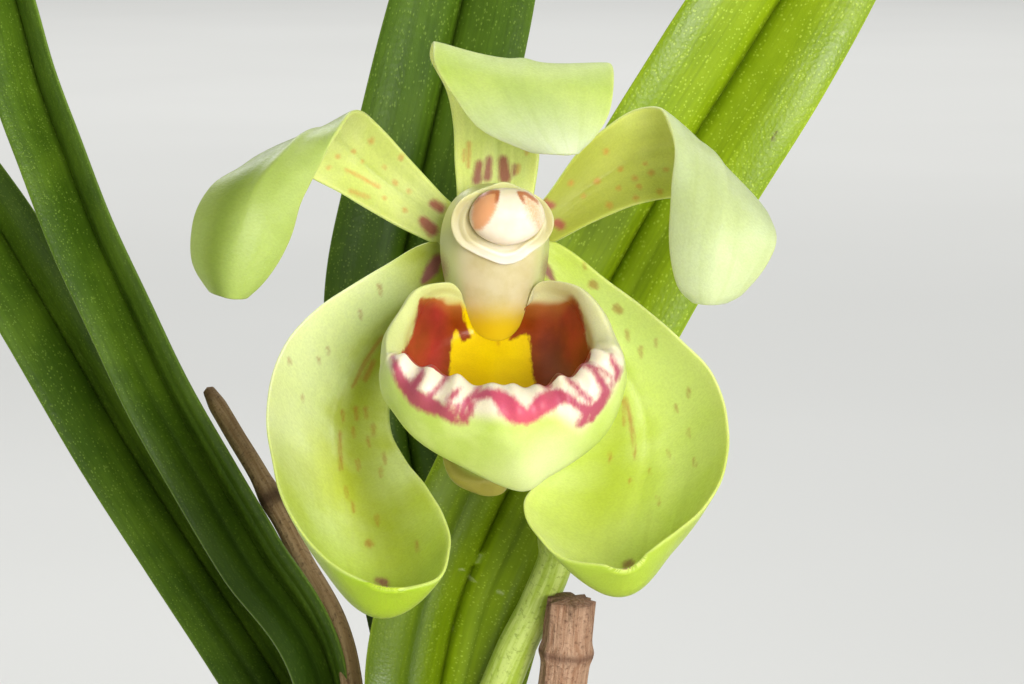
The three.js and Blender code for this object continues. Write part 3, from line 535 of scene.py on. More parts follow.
def column_wax(name, base, pale):
    """Column and cap tissue: milky and translucent, with a moist sheen."""
    made, n = material(name)
    spread = spread_of(n)
    clouds = noise(n, spread, 0.5, 3.0)
    tone = ramp(n, clouds, 0.3, 0.7)
    cells = noise(n, spread, 6.0, 3.0, 0.6)
    ground = mixed(n, tone, base, pale)
    ragged = n("ShaderNodeMapRange", {0: cells, 1: 0.3, 2: 0.7, 3: -0.12, 4: 0.12})
    for field, hue, soft, strength in (
        # Greenish flanks, partly tissue showing through and partly painted shade
        ("green", "#D0D28C", 0.0, 0.9),
        # Painted shade over the thin collar
        ("thin", "#BDB384", 0.0, 0.75),
        ("yellow", "#DDBE00", 0.0, 0.97),
        ("milk", "#F4EEDC", 0.0, 0.8),
        ("bruise", "#8E4A5A", 0.1, 0.8),
        ("orange", "#DE9A62", 0.12, 0.9),
        ("rust", "#B05A26", 0.12, 0.85),
    ):
        depth = own(n, field)
        depth = n("ShaderNodeMath", {0: ragged, 1: 1.0 if soft else 0.3, 2: depth}, operation="MULTIPLY_ADD")
        mark = ramp(n, depth, soft, 1.0 - soft, strength)
        ground = mixed(n, mark, ground, hue)
    normal = n("ShaderNodeBump", {"Height": cells, "Strength": 0.12, "Distance": 0.0002})
    return coated(made, n, ground, 0.36, 0.4, normal, soak=0.6, depth=0.0011, reach=(1.0, 0.9, 0.5))


def fired_clay():
    """Terracotta: open, dry and matt, with throwing lines, sandy grit and a bloom of lime."""
    made, n = material("unglazed terracotta")
    place = n("ShaderNodeTexCoord", {}, out=3)
    clouds = noise(n, place, 38.0, 5.0, 0.6)
    grit = noise(n, place, 1100.0, 3.0, 0.7)
    height = n("ShaderNodeSeparateXYZ", {0: place}, out=2)
    rings = stretched(n, place, 4.0, 4.0, 420.0)
    lines = noise(n, rings, 1.0, 3.0)
    tone = ramp(n, clouds, 0.3, 0.7)
    ground = mixed(n, tone, "#A9552F", "#C07048")
    low = ramp(n, height, 0.03, 0.0, 0.45)
    ground = mixed(n, low, ground, "#8A4527")
    lime = noise(n, place, 62.0, 6.0, 0.68)
    near_rim = ramp(n, height, 0.035, 0.07, 0.07, -0.04)
    lime = n("ShaderNodeMath", {0: lime, 1: near_rim}, operation="ADD")
    bloom = ramp(n, lime, 0.56, 0.78, 0.6)
    ground = mixed(n, bloom, ground, "#DCC2A8")
    speck = ramp(n, grit, 0.62, 0.72, 0.35)
    ground = mixed(n, speck, ground, "#7A3D24")
    relief = n("ShaderNodeMath", {0: lines, 1: 0.8, 2: grit}, operation="MULTIPLY_ADD")
    normal = n("ShaderNodeBump", {"Height": relief, "Strength": 0.35, "Distance": 0.0004})
    return coated(made, n, ground, 0.88, 0.25, normal, bend=1.5)


def conifer_bark():
    """Orchid bark: split chips of conifer bark, corky red-brown with lighter growth layers."""
    made, n = material("dry conifer bark chips")
    spread = spread_of(n)
    chip = own(n, "chip")
    layers = stretched(n, spread, 0.12, 0.12, 1.3)
    bands = noise(n, layers, 1.0, 5.0, 0.65)
    band = ramp(n, bands, 0.35, 0.65)
    grain = noise(n, spread, 1.4, 6.0, 0.7)
    ground = mixed(n, band, "#4A2E1C", "#8A5A3A")
    ground = mixed(n, chip, ground, "#6E4A34")
    dust = ramp(n, grain, 0.55, 0.75, 0.5)
    ground = mixed(n, dust, ground, "#A98568")
    crack = ramp(n, grain, 0.42, 0.28, 0.8)
    ground = mixed(n, crack, ground, "#24150C")
    relief = n("ShaderNodeMath", {0: bands, 1: 0.7, 2: grain}, operation="MULTIPLY_ADD")
    normal = n("ShaderNodeBump", {"Height": relief, "Strength": 0.7, "Distance": 0.0009})
    return coated(made, n, ground, 0.93, 0.2, normal, bend=1.45)


# Tepals

TEPAL_THICKNESS = 0.95
TEPAL_EDGE = 0.62
TEPAL_GRID = (150, 56)

# Each tepal runs through three rails: one edge, the middle, the other edge, from foot to tip.
TEPALS = {
    "dorsal_sepal": (
        [(456, 219, -1.2), (457, 197, -1), (456, 165, 0), (454, 126, 1.5), (447, 92, 3.5),
         (430, 59, 6), (433, 43, 9), (435, 65, 12), (453, 95, 13.5), (482, 130, 14.5), (534, 152, 15)],
        [(497, 226, -1.9), (497, 201, -2), (497, 165, -2.2), (498, 128, -1.8), (505, 97, 0.5),
         (518, 72, 4), (524, 66, 8), (529, 80, 12), (538, 103, 14.5), (552, 132, 16), (565, 155, 16.3)],
        [(531, 219, -1.2), (533, 197, -1), (538, 165, 0), (541, 126, 1.5), (552, 95, 3),
         (590, 72, 5.5), (611, 64, 8.5), (614, 84, 11.5), (608, 114, 13.5), (592, 139, 14.8),
         (576, 153, 15)],
    ),
    "petal_left": (
        [(462, 255, -1.6), (423, 238, -1), (381, 216, 0), (341, 192, 1.5), (301, 172, 4),
         (269, 156, 7.5), (240, 168, 10), (210, 187, 11.3), (193, 222, 12), (193, 263, 12),
         (211, 292, 12)],
        [(466, 237, -1.9), (436, 217, -1.8), (391, 186, -1.8), (355, 157, -0.8), (330, 137, 3),
         (311, 137, 7.5), (286, 156, 11), (257, 190, 13.4), (241, 230, 14.3), (230, 270, 14),
         (229, 299, 13)],
        [(475, 217, -1.6), (444, 197, -1), (407, 157, 0.5), (376, 123, 3), (356, 111, 6.5),
         (338, 130, 9.5), (319, 167, 11.2), (300, 202, 12), (289, 240, 12.5), (267, 277, 12.5),
         (246, 298, 12)],
    ),
    "petal_right": (
        [(523, 219, -1.6), (547, 196, -1), (580, 151, 0.5), (614, 121, 2.5), (642, 109, 4.5),
         (660, 109, 7), (669, 126, 9.5), (675, 152, 11), (672, 190, 12), (669, 240, 12.5),
         (677, 281, 12.5), (694, 301, 12)],
        [(526, 236, -1.9), (551, 217, -1.8), (590, 185, -1.8), (628, 161, -1.2), (662, 149, 1),
         (693, 148, 4.5), (712, 160, 8.5), (721, 184, 11.7), (722, 217, 13.7), (718, 255, 14.3),
         (711, 288, 13.8), (709, 305, 13)],
        [(532, 253, -1.6), (559, 239, -1), (600, 217, 0), (640, 204, 1), (680, 196, 2.5),
         (722, 194, 4.5), (758, 206, 7.5), (773, 226, 10), (775, 246, 11.5), (763, 268, 12),
         (743, 292, 12), (726, 302, 12)],
    ),
    "lateral_sepal_left": (
        [(456, 237, -1.8), (423, 244, -1), (388, 264, -0.5), (346, 289, 0.5), (305, 320, 2),
         (278, 358, 3), (267, 405, 4.5), (271, 455, 6.5), (284, 500, 9), (312, 545, 11),
         (342, 569, 12.5), (370, 582, 13)],
        [(470, 249, -2.2), (447, 267, -2), (415, 297, -3), (378, 334, -4), (347, 375, -4.6),
         (332, 420, -4.8), (336, 470, -4), (349, 520, -2), (363, 565, 1.5), (375, 600, 5.5),
         (381, 614, 10), (382, 586, 13.3)],
        [(482, 263, -1.8), (466, 285, -1), (440, 318, -0.7), (408, 362, -0.4), (390, 400, 0.2),
         (392, 434, 1.3), (407, 463, 2.8), (427, 489, 4.5), (444, 518, 6.5), (450, 547, 9),
         (438, 577, 11.5), (398, 590, 13)],
    ),
    "lateral_sepal_right": (
        [(507, 263, -1.8), (521, 285, -1), (545, 320, -0.7), (566, 362, -0.4), (576, 402, 0.2),
         (570, 440, 1.3), (555, 467, 2.8), (536, 486, 4.5), (523, 506, 6.5), (535, 531, 8.8),
         (561, 556, 11), (607, 566, 13)],
        [(518, 249, -2.2), (537, 267, -2), (570, 300, -3), (605, 340, -4), (632, 382, -4.6),
         (646, 425, -4.8), (646, 465, -4), (637, 506, -2), (628, 545, 1.5), (624, 575, 6),
         (624, 592, 10), (631, 569, 13.3)],
        [(530, 237, -1.8), (559, 244, -1), (598, 273, -0.5), (642, 307, 0.5), (684, 343, 2),
         (714, 378, 3), (727, 415, 4), (728, 452, 5.5), (718, 487, 7.5), (694, 517, 9.5),
         (668, 538, 11.5), (645, 554, 13)],
    ),
}

# Marks are streaks of (right, down, width) or outlines of (right, down), in the picture's pixels or
# in those of a crop, which is given by its left, its top and its enlargement.
THROAT_CROP = (375, 270, 6.03)
RIM_CROP = (370, 340, 7)
CAP_CROP = (415, 150, 5)
DORSAL_SPOTS = [
    [(466, 142, 3), (466, 166, 3)], [(521, 166, 4), (520, 172, 4)], [(529, 149, 3), (529, 153, 3)],
    [(462, 150, 2), (462, 160, 2)],
]
DORSAL_FLUSH = [
    [(477, 164, 8), (475, 180, 10)], [(488, 160, 8), (486, 177, 10)], [(504, 161, 11), (506, 177, 14)],
    [(517, 166, 4), (516, 174, 4)],
]
PETAL_LEFT_SPOTS = [
    [(372, 138, 6)], [(352, 149, 5)], [(334, 155, 5)], [(326, 168, 4)], [(396, 181, 6)],
    [(402, 156, 5)], [(343, 171, 3), (377, 188, 4)], [(349, 192, 3), (367, 199, 3)], [(386, 165, 4)],
    [(362, 160, 4)], [(410, 190, 5)], [(383, 200, 4)], [(404, 212, 5)],
]
PETAL_LEFT_FLUSH = [
    [(435, 203, 10), (441, 207, 10)], [(423, 223, 11), (431, 231, 13)],
]
PETAL_RIGHT_SPOTS = [
    [(605, 149, 6)], [(621, 169, 6)], [(597, 181, 7)], [(637, 180, 6)], [(654, 174, 6)],
    [(669, 170, 5)], [(641, 189, 5)], [(661, 193, 5)], [(610, 207, 6)], [(637, 200, 5)],
    [(569, 181, 6)], [(584, 197, 5)], [(620, 190, 5)], [(648, 163, 4)],
]
PETAL_RIGHT_FLUSH = [
    [(546, 203, 9), (550, 204, 8)], [(558, 224, 9), (562, 227, 9)],
]
LATERAL_LEFT_SPOTS = [
    [(378, 283, 6)], [(383, 337, 4), (368, 360, 5), (355, 386, 4)], [(376, 363, 5), (368, 380, 5)],
    [(359, 409, 7)], [(369, 409, 6)], [(344, 412, 6)], [(376, 426, 6)], [(356, 429, 5)],
    [(371, 438, 5)], [(360, 461, 6)], [(386, 454, 6)], [(383, 469, 5)], [(341, 433, 4), (341, 469, 4)],
    [(346, 489, 6)], [(353, 504, 6)], [(379, 517, 6)], [(369, 545, 8), (372, 547, 6)], [(419, 543, 6)],
    [(358, 309, 5)], [(325, 346, 4)], [(316, 356, 4)], [(287, 358, 4)], [(299, 395, 4)],
    [(392, 345, 4), (386, 356, 4)],
]
LATERAL_LEFT_FLUSH = [
    [(437, 258, 11), (432, 268, 15), (425, 278, 9)], [(378, 583, 6), (386, 586, 9)],
]
LATERAL_RIGHT_SPOTS = [
    [(594, 282, 8), (598, 284, 6)], [(618, 306, 8), (622, 309, 6)], [(629, 329, 6)], [(643, 346, 6)],
    [(658, 338, 4)], [(691, 388, 5)], [(679, 404, 5)], [(691, 430, 5)], [(607, 454, 6)],
    [(629, 481, 5)], [(671, 452, 5)], [(697, 460, 5)],
    [(624, 398, 3), (629, 420, 5), (632, 441, 4), (635, 460, 3)], [(621, 400, 3), (622, 425, 3)],
    [(650, 470, 4)], [(585, 262, 4)], [(660, 500, 5)],
]
LATERAL_RIGHT_FLUSH = [
    [(540, 257, 8), (547, 270, 11), (553, 280, 5)], [(631, 567, 9), (626, 569, 7)],
]
LIP_MAROON = [
    [(258, 160), (330, 160), (400, 158), (450, 150), (485, 140), (512, 140), (524, 180), (530, 230),
     (545, 300), (575, 380), (580, 412), (545, 430), (520, 440), (508, 405), (498, 378), (488, 360),
     (474, 385), (468, 430), (460, 500), (455, 560), (450, 620), (440, 680), (350, 680), (240, 640),
     (150, 560), (155, 500), (190, 450), (215, 400), (235, 340), (245, 290), (255, 240)],
    [(925, 140), (960, 145), (1000, 150), (1050, 150), (1100, 145), (1130, 140), (1165, 138),
     (1198, 150), (1230, 210), (1255, 280), (1265, 330), (1270, 380), (1285, 430), (1305, 490),
     (1330, 600), (1200, 700), (985, 735), (975, 705), (960, 690), (945, 620), (940, 560), (935, 480),
     (925, 400), (910, 388), (880, 398), (850, 412), (820, 432), (805, 422), (830, 370), (860, 300),
     (880, 240), (905, 190)],
]
LIP_TONGUES = [
    [(670, 350, 20), (672, 400, 12)], [(735, 350, 22), (742, 445, 14)],
]
LIP_YOLK = [
    [(470, 250), (560, 230), (640, 215), (700, 210), (770, 215), (850, 230), (935, 250), (965, 560),
     (1000, 760), (440, 720), (432, 600)],
]
LIP_MAGENTA = [
    [(165, 125, 34), (182, 190, 56), (205, 255, 76), (255, 335, 92), (310, 395, 110), (370, 435, 120),
     (440, 465, 108), (510, 500, 92), (565, 535, 70), (600, 570, 40)],
    [(372, 185, 20), (362, 215, 36), (352, 250, 46), (325, 295, 60), (290, 340, 66)],
    [(540, 250, 44), (510, 295, 28), (465, 345, 30), (415, 395, 50)],
    [(630, 338, 20), (590, 375, 44), (560, 420, 44), (545, 480, 46), (560, 520, 30)],
    [(770, 330, 36), (740, 375, 50), (695, 420, 52), (655, 465, 60), (645, 520, 66), (665, 570, 50)],
    [(610, 460, 34), (590, 515, 46), (600, 560, 36)], [(725, 425, 36), (700, 475, 56), (692, 525, 44)],
    [(745, 400, 50), (800, 372, 70), (860, 372, 66), (915, 410, 112), (965, 462, 150),
     (1030, 518, 146), (1090, 548, 96), (1150, 512, 112), (1205, 450, 138), (1260, 420, 144),
     (1310, 400, 116), (1360, 396, 80), (1420, 432, 60)],
    [(1420, 432, 50), (1475, 470, 60), (1520, 490, 90), (1575, 490, 96), (1625, 430, 84),
     (1650, 370, 66)],
    [(1520, 500, 80), (1500, 560, 66), (1465, 595, 40)], [(1575, 500, 70), (1550, 555, 60)],
    [(1385, 272, 26), (1435, 318, 40), (1480, 370, 44), (1540, 420, 50)],
    [(1200, 292, 40), (1250, 320, 46)],
    [(1490, 165, 36), (1555, 190, 50), (1592, 250, 50), (1630, 310, 62), (1662, 360, 60)],
    [(1585, 190, 14), (1650, 225, 18), (1695, 270, 18), (1692, 320, 22)],
    [(1685, 112, 20), (1703, 165, 38), (1738, 218, 50), (1722, 280, 28)],
]
CAP_PATCHES = [
    [(276, 330), (286, 270), (325, 222), (380, 203), (420, 205), (417, 240), (408, 300), (375, 360),
     (330, 405), (286, 404)],
    [(512, 208), (560, 213), (612, 253), (642, 310), (647, 370), (625, 425), (588, 382), (558, 330),
     (540, 270)],
]
# Each tepal: its spots, its flushes and how far up the blade its inner face carries them
TEPAL_MARKS = {
    "dorsal_sepal": (DORSAL_SPOTS, DORSAL_FLUSH, 0.42),
    "petal_left": (PETAL_LEFT_SPOTS, PETAL_LEFT_FLUSH, 0.5),
    "petal_right": (PETAL_RIGHT_SPOTS, PETAL_RIGHT_FLUSH, 0.5),
    "lateral_sepal_left": (LATERAL_LEFT_SPOTS, LATERAL_LEFT_FLUSH, 1.1),
    "lateral_sepal_right": (LATERAL_RIGHT_SPOTS, LATERAL_RIGHT_FLUSH, 1.1),
}


def tepal(name, finish, node):
    """Three tepals show their fronts at the foot; the rails of the two laterals turn them round."""
    rails = [read(rail) for rail in TEPALS[node]]
    spots, flushes, reach = TEPAL_MARKS[node]
    spots, flushes = drawn(spots), drawn(flushes)
    facing = -1 if node.startswith("lateral") else 1
    if facing < 0:  # their single flecks are drawn out along the veins
        for i, fleck in enumerate(spots):
            if len(fleck) == 1:
                x, y, width = fleck[0]
                spots[i] = [(x, y, 0.6 * width), (x + 0.1, y - 1.5 * width, 0.4 * width)]
    length = np.linalg.norm(np.diff(np.array(rails[1], float), axis=0), axis=1).sum()
    width = np.linalg.norm(np.array(rails[0][5], float) - rails[2][5])

    def surface(u, v):
        a, m, b = (along(rail, u) for rail in rails)
        v = v[:, None]
        return m + 0.5 * (b - a) * v + (0.5 * (a + b) - m) * v * v

    def thickness(u, v):
        return TEPAL_EDGE + (TEPAL_THICKNESS - TEPAL_EDGE) * (1 - v * v) * (1 - u * u)

    def relief(u, v, side):
        flat = np.stack([v * width / 2, u * length, 0 * u], -1)
        keel = 0.22 * bump(v, 0, 0.12) * smooth(0.08, 0.3, u) * (1 - smooth(0.6, 0.9, u))
        return 0.07 * ripple(flat, 5, len(node)) - facing * keel

    def marks(u, v, side, middle):
        at = seen(middle)
        side = side * facing
        within = np.where((side > -0.05) & (u < reach), 0, -9)
        # The laterals are darker along their inner half, beside the lip, partly their own olive and partly
        # painted shade; the other tepals get a faint painted shade there. The left petal has a painted fold
        # shadow towards its far edge, and two of the feet have painted shade.
        heart = {"lateral_sepal_left": 0.42, "lateral_sepal_right": -0.42}.get(node, 0)
        bowl = smooth(0.7, 0, np.abs(v - heart)) * smooth(0.95, 0.6, u) * smooth(-0.2, 0.2, side)
        edge = 0.85 if node == "petal_left" else 0
        far = edge * bump(v, -0.42, 0.36) * smooth(0.42, 0.6, u) * smooth(0.2, -0.2, side)
        foot = {"petal_right": 0.85, "lateral_sepal_left": 0.75}.get(node, 0)
        foot_shade = foot * smooth(0.36, 0.14, u) * (side > 0)
        rim = 0.25 * smooth(0.95, 1.0, np.abs(v))
        # Painted light: the laterals' outer halves, away from the lip, are painted paler
        lit_outer_half = 0.9 * smooth(-0.1, 0.6, -np.sign(heart) * v) * smooth(0.72, 0.42, u) if heart else 0
        return {
            "share": u,
            "spots": streaks(at, spots) + within,
            "flush": streaks(at, flushes) + within,
            "inside": smooth(-0.2, 0.2, side),
            "shade": np.clip((0.8 if facing < 0 else 0.1) * bowl + far + foot_shade, 0, 0.9),
            "margin": np.maximum(rim, lit_outer_half) * smooth(0.1, 0.25, u),
        }

    bm = blade(*TEPAL_GRID, surface, thickness, length, width, relief, marks)
    for vert, co in zip(bm.verts, placed(np.array([vert.co for vert in bm.verts]) / MM) * MM):
        vert.co = co
    bmesh.ops.recalc_face_normals(bm, faces=bm.faces)
    finished(name, bm, finish, [node])


# Piece, slot, node and finish: the back, its pale clouds and its tip, the front, its pale clouds and
# its tip, the painted shade, the veins, the spots and the flushes
TEPAL_FINISHES = (
    (
        "back_sepal", "petal", "dorsal_sepal", "waxy back sepal", "#B6CB5C", "#C5D76C", "#C6CEA6",
        "#DEE689", "#E4EC9E", "#DEE689", "#B2BE52", "#98AE3C", "#CE8440", "#A04450",
    ),
    (
        "left_petal", "petal", "petal_left", "waxy green petal", "#A0B256", "#AEBF6A", "#A2B45A",
        "#CCD478", "#D6DC90", "#CCD478", "#74882A", "#98AA40", "#CE8440", "#A8454C",
    ),
    (
        "right_petal", "petal", "petal_right", "waxy pale petal", "#BECA8C", "#CAD6A0", "#C4CE9C",
        "#D8DE70", "#E0E684", "#D8E078", "#A0A43A", "#A2B050", "#CE8440", "#A8454C",
    ),
    (
        "left_sepal", "lateral_sepal", "lateral_sepal_left", "waxy lateral sepal", "#A6BC30", "#B4C844",
        "#9EB824", "#C8D056", "#E6EEB4", "#C0D444", "#8E9606", "#9CA636", "#A45C26", "#8C3854",
    ),
    (
        "right_sepal", "lateral_sepal", "lateral_sepal_right", "waxy yellow lateral sepal", "#AEC046",
        "#BDCD5C", "#A9C03A", "#C8D85C", "#DAE690", "#DAE682", "#A4B22C", "#A6B040", "#A8602A", "#8C3854",
    ),
)
for piece, slot, node, *finish in TEPAL_FINISHES:
    tepal(piece, petal_wax(*finish), node)


# Lip

# The lip is a thick-walled bowl. Each line runs from under it up its outside, over its rim and down
# to its floor; the lines go round from the throat by the left lobe, the front rim and the right lobe.
LIP_LINES = [
    [(500, 331, 0.5), (500, 318, 1.2), (500, 315, 2), (500, 315, 2.6), (500, 316, 3), (500, 320, 3.2),
     (500, 328, 3.6), (500, 340, 4.2)],
    [(476, 322, 1.5), (468, 318, 3), (466, 312, 4.2), (465, 308, 4.8), (466, 306, 5.2),
     (469, 309, 5.2), (473, 320, 4.6), (478, 335, 4.4)],
    [(466, 318, 1.5), (452, 300, 4), (453, 290, 5.6), (455, 286, 6.4), (457, 287, 6.9),
     (460, 292, 6.6), (463, 305, 5.6), (470, 330, 5)],
    [(455, 322, 1.8), (434, 300, 5), (436, 288, 6.8), (440, 283, 7.6), (443, 283, 8), (445, 287, 7.6),
     (446, 300, 6.4), (455, 335, 5.4)],
    [(444, 335, 2.2), (414, 312, 6.4), (412, 296, 8.6), (414, 290, 9.6), (419, 289, 10),
     (424, 294, 9.4), (428, 308, 7.8), (441, 345, 6.2)],
    [(440, 345, 2.6), (400, 330, 8), (398, 318, 10.2), (399, 311, 11.4), (404, 308, 11.8),
     (414, 312, 11), (419, 325, 9.2), (433, 358, 7.2)],
    [(437, 360, 3.2), (388, 352, 9.4), (383, 342, 11.8), (385, 334, 13), (391, 331, 13.4),
     (405, 333, 12.4), (411, 345, 10.6), (428, 368, 8.2)],
    [(437, 378, 4), (386, 378, 10.5), (381, 364, 13), (383, 354, 14.4), (388, 349, 15),
     (401, 352, 13.8), (408, 358, 12), (425, 376, 9)],
    [(440, 400, 5), (390, 402, 11.5), (380, 385, 14), (383, 372, 15.6), (390, 358, 16.4),
     (399, 354, 15.6), (404, 364, 13.4), (425, 384, 9.6)],
    [(447, 425, 5.6), (404, 418, 12), (393, 411, 14.8), (400, 396, 17), (410, 376, 17.6),
     (421, 364, 16.6), (424, 376, 14.2), (434, 388, 10)],
    [(458, 448, 6.2), (426, 438, 12.4), (414, 437, 15.4), (425, 416, 18), (438, 392, 18.8),
     (446, 374, 17.4), (448, 386, 15), (450, 391, 10.2)],
    [(472, 462, 6.8), (462, 458, 12.8), (450, 460, 15.6), (459, 430, 18.7), (466, 402, 19.6),
     (472, 382, 18), (472, 394, 15.4), (472, 391, 10.2)],
    [(499, 473, 7.4), (512, 482, 13.2), (518, 489, 15.4), (511, 440, 19.8), (505, 405, 20.2),
     (502, 388, 18.6), (500, 398, 16), (500, 389, 10)],
    [(522, 464, 6.8), (542, 469, 12.8), (550, 475, 15.4), (547, 432, 19), (543, 402, 19.8),
     (536, 388, 18.2), (532, 398, 15.6), (525, 391, 10.2)],
    [(538, 450, 6.2), (577, 446, 12.4), (588, 451, 15), (574, 426, 18.2), (566, 396, 18.8),
     (556, 378, 17.6), (550, 390, 15), (545, 390, 10.2)],
    [(550, 426, 5.6), (600, 422, 12), (611, 426, 14.8), (600, 402, 17.4), (588, 378, 17.8),
     (577, 372, 16.8), (570, 380, 14.2), (560, 385, 10)],
    [(558, 402, 5), (614, 396, 11.5), (624, 393, 14), (618, 376, 16), (605, 360, 16.8),
     (590, 355, 15.8), (583, 364, 13.4), (568, 380, 9.6)],
    [(561, 380, 4), (619, 376, 10.6), (626, 369, 13.2), (623, 356, 15), (613, 348, 15.6),
     (595, 350, 14.2), (588, 358, 12), (570, 372, 9)],
    [(561, 362, 3.2), (612, 352, 9.4), (617, 342, 12), (614, 334, 13.2), (607, 331, 13.6),
     (592, 333, 12.6), (586, 345, 10.6), (568, 366, 8.2)],
    [(558, 347, 2.6), (598, 326, 8), (605, 316, 10.4), (602, 309, 11.6), (596, 307, 12),
     (584, 311, 11), (579, 325, 9.2), (563, 356, 7.2)],
    [(552, 336, 2.2), (582, 308, 6.4), (586, 296, 8.8), (583, 289, 9.8), (578, 288, 10.2),
     (572, 293, 9.4), (568, 308, 7.8), (555, 345, 6.2)],
    [(543, 322, 1.8), (558, 298, 5), (560, 288, 7), (557, 282, 7.8), (553, 281, 8.2), (550, 286, 7.6),
     (548, 300, 6.4), (540, 335, 5.4)],
    [(532, 318, 1.5), (541, 300, 4), (542, 291, 5.6), (539, 285, 6.4), (536, 285, 6.9),
     (533, 290, 6.6), (530, 303, 5.6), (525, 330, 5)],
    [(524, 322, 1.5), (529, 318, 3), (530, 312, 4.2), (529, 308, 4.8), (527, 306, 5.2),
     (524, 309, 5.2), (520, 320, 4.6), (516, 335, 4.4)],
]
LIP_GRID = (280, 190)
LIP_SPUR_TIP = (489, 490, 4.2)
LIP_SPUR_ROOT = (481, 463, 5.2)
LIP_FLOOR = (491, 366, 7)
# The floor's height over a point near the throat: factors, each with its powers of x and y from there
LIP_THROAT = (-0.2, -12)
LIP_BOWL = ((6.95, 0, 0), (-0.017, 2, 0), (0.0016, 4, 0), (0.0154, 2, 1), (-1.44, 0, 1), (0.2, 0, 2))
# The warty ridges over the front rim: the line that each one follows, and its half width in lines
LIP_RIDGES = (
    (7.6, 0.3), (8.4, 0.42), (9.5, 0.42), (10.5, 0.42), (11.75, 0.5), (12.35, 0.3), (13.0, 0.42),
    (14.1, 0.42), (15.2, 0.45), (16.4, 0.5), (17.3, 0.3),
)


def lip_skin(s, t):
    lines = np.array([read(line, 2) for line in LIP_LINES])
    spur_tip, spur_root, middle_floor = read([LIP_SPUR_TIP, LIP_SPUR_ROOT, LIP_FLOOR], 2)
    turn = TURN * s
    count = lines.shape[1]
    line = [along(lines[:, k], s, closed=True) for k in range(count)]

    def ring(middle, radius, lean):
        """A ring about a point of the spur, from its back round by its left."""
        x, y, z = middle
        back = radius * np.cos(turn)
        return np.stack([x - radius * np.sin(turn), y + lean * back, z - (1 - lean) * back], -1)

    floor = np.broadcast_to(np.array(middle_floor), line[0].shape)
    inner = [line[-1] + (floor - line[-1]) * share for share in (0.4, 0.75)]
    spur = [ring(spur_tip, 0.5, 0.35), ring(spur_tip, 1.4, 0.35), ring(spur_root, 3.2, 0.55)]
    stack = [*spur, *line, *inner, floor]
    over = 0.995 * t
    points = along(np.stack(stack), over)
    # 0 underside, 1 outside, 2 widest, 3 shoulder, 4 crest, 5 inner edge, 6 inner wall, 7 floor edge
    at_line = over * (len(stack) - 1) - len(spur)
    x, y = points[:, 0] - LIP_THROAT[0], points[:, 1] - LIP_THROAT[1]
    bowl = sum(factor * x**right * y**up for factor, right, up in LIP_BOWL)
    points[:, 2] += (bowl - points[:, 2]) * smooth(6.2, 7.2, at_line)
    around = s * len(lines)
    ridge = sum(bump(around, middle, 0.85 * half) for middle, half in LIP_RIDGES)
    front = smooth(7.2, 8.4, around) * (1 - smooth(16.6, 17.8, around))
    band = smooth(3.0, 3.9, at_line) * (1 - smooth(5.2, 6.2, at_line))
    lift = (ridge - 0.5) * front * band
    points[:, 2] += 0.8 * lift
    points[:, 1] += 0.7 * lift * smooth(4.0, 5.0, at_line)
    lobes = 1 - smooth(7.0, 8.4, around) * (1 - smooth(16.4, 17.8, around))
    waves = 0.18 * lobes * smooth(2.5, 3.6, at_line) * (1 - smooth(5.0, 6.4, at_line))
    points[:, 2] += waves * np.cos(TURN * 7.3 * s)
    at = seen(points)
    outside = 3 * smooth(5.0, 4.4, at_line)
    maroon = np.maximum(*(patch(at, outline) for outline in drawn(LIP_MAROON, THROAT_CROP)))
    yolk = patch(at, drawn(LIP_YOLK, THROAT_CROP)[0])
    away = np.maximum(smooth(2.8, 2.2, at_line), smooth(5.8, 6.3, at_line))
    ruby = np.where(at[:, 0] < 0.5, smooth(-4.0, -5.9, at[:, 0]), smooth(5.0, 6.4, at[:, 0]))
    fields = {
        "spread": points,
        "maroon": maroon - outside,
        "ruby": ruby,
        "fade": smooth(-8.3 + 1.3 * ruby, -5.5, at[:, 1] + 0.12 * ripple(points, 1.2, 3)),
        "tongues": streaks(at, drawn(LIP_TONGUES, THROAT_CROP)) - outside,
        "yolk": smooth(-1.1, 0.3, yolk) * smooth(5.4, 5.9, at_line),
        "magenta": streaks(at, drawn(LIP_MAGENTA, RIM_CROP)) - 3 * away,
        "blush": bump(at[:, 0], 1.6, 4.0),
        "rim": front * smooth(3.25, 3.9, at_line + 0.7 * smooth(4.5, 7.5, at[:, 0])),
        # The lobes' own cream outside, painted paler towards the right as painted light
        "cheek": (1 - front) * smooth(0.9, 3.0, at_line) * (0.55 + 0.45 * smooth(-3, 3, at[:, 0])),
        # A painted highlight low on the right of the lip's outside
        "boss": 0.8 * bump(at[:, 0], 3.6, 3.4) * smooth(-0.4, 0.8, at_line) * (1 - smooth(2.4, 3.4, at_line)),
        # The spur's own tan, darkened with painted shade under the lip
        "spur": smooth(-0.35, -0.75, at_line),
        "throat": smooth(5.0, 6.4, at_line),
    }
    return placed(points), fields


finished("lip_bowl", wrapped(*LIP_GRID, lip_skin), lip_wax(), ["lip"])


# Column and its cap

# Slices from the foot at the back out to the hood: x, y, z, half width, half height and how much the
# slice narrows downwards.
COLUMN_SLICES = [
    (-0.4, -1.2, -0.9, 3.2, 3.0, 0),
    (-0.5, -1.9, 0.5, 4.4, 5.0, 0.12),
    (-0.5, -3.6, 2.6, 4.5, 7.6, 0.3),
    (-0.4, -3.3, 4.4, 4.45, 6.8, 0.32),
    (-0.2, -2.2, 6.2, 4.15, 5.5, 0.28),
    (0.1, -0.9, 7.6, 3.85, 4.2, 0.16),
    (0.3, 0.1, 8.6, 3.6, 3.3, 0.05),
]
COLUMN_BLUNT = 0.86
COLUMN_GRID = (128, 150)
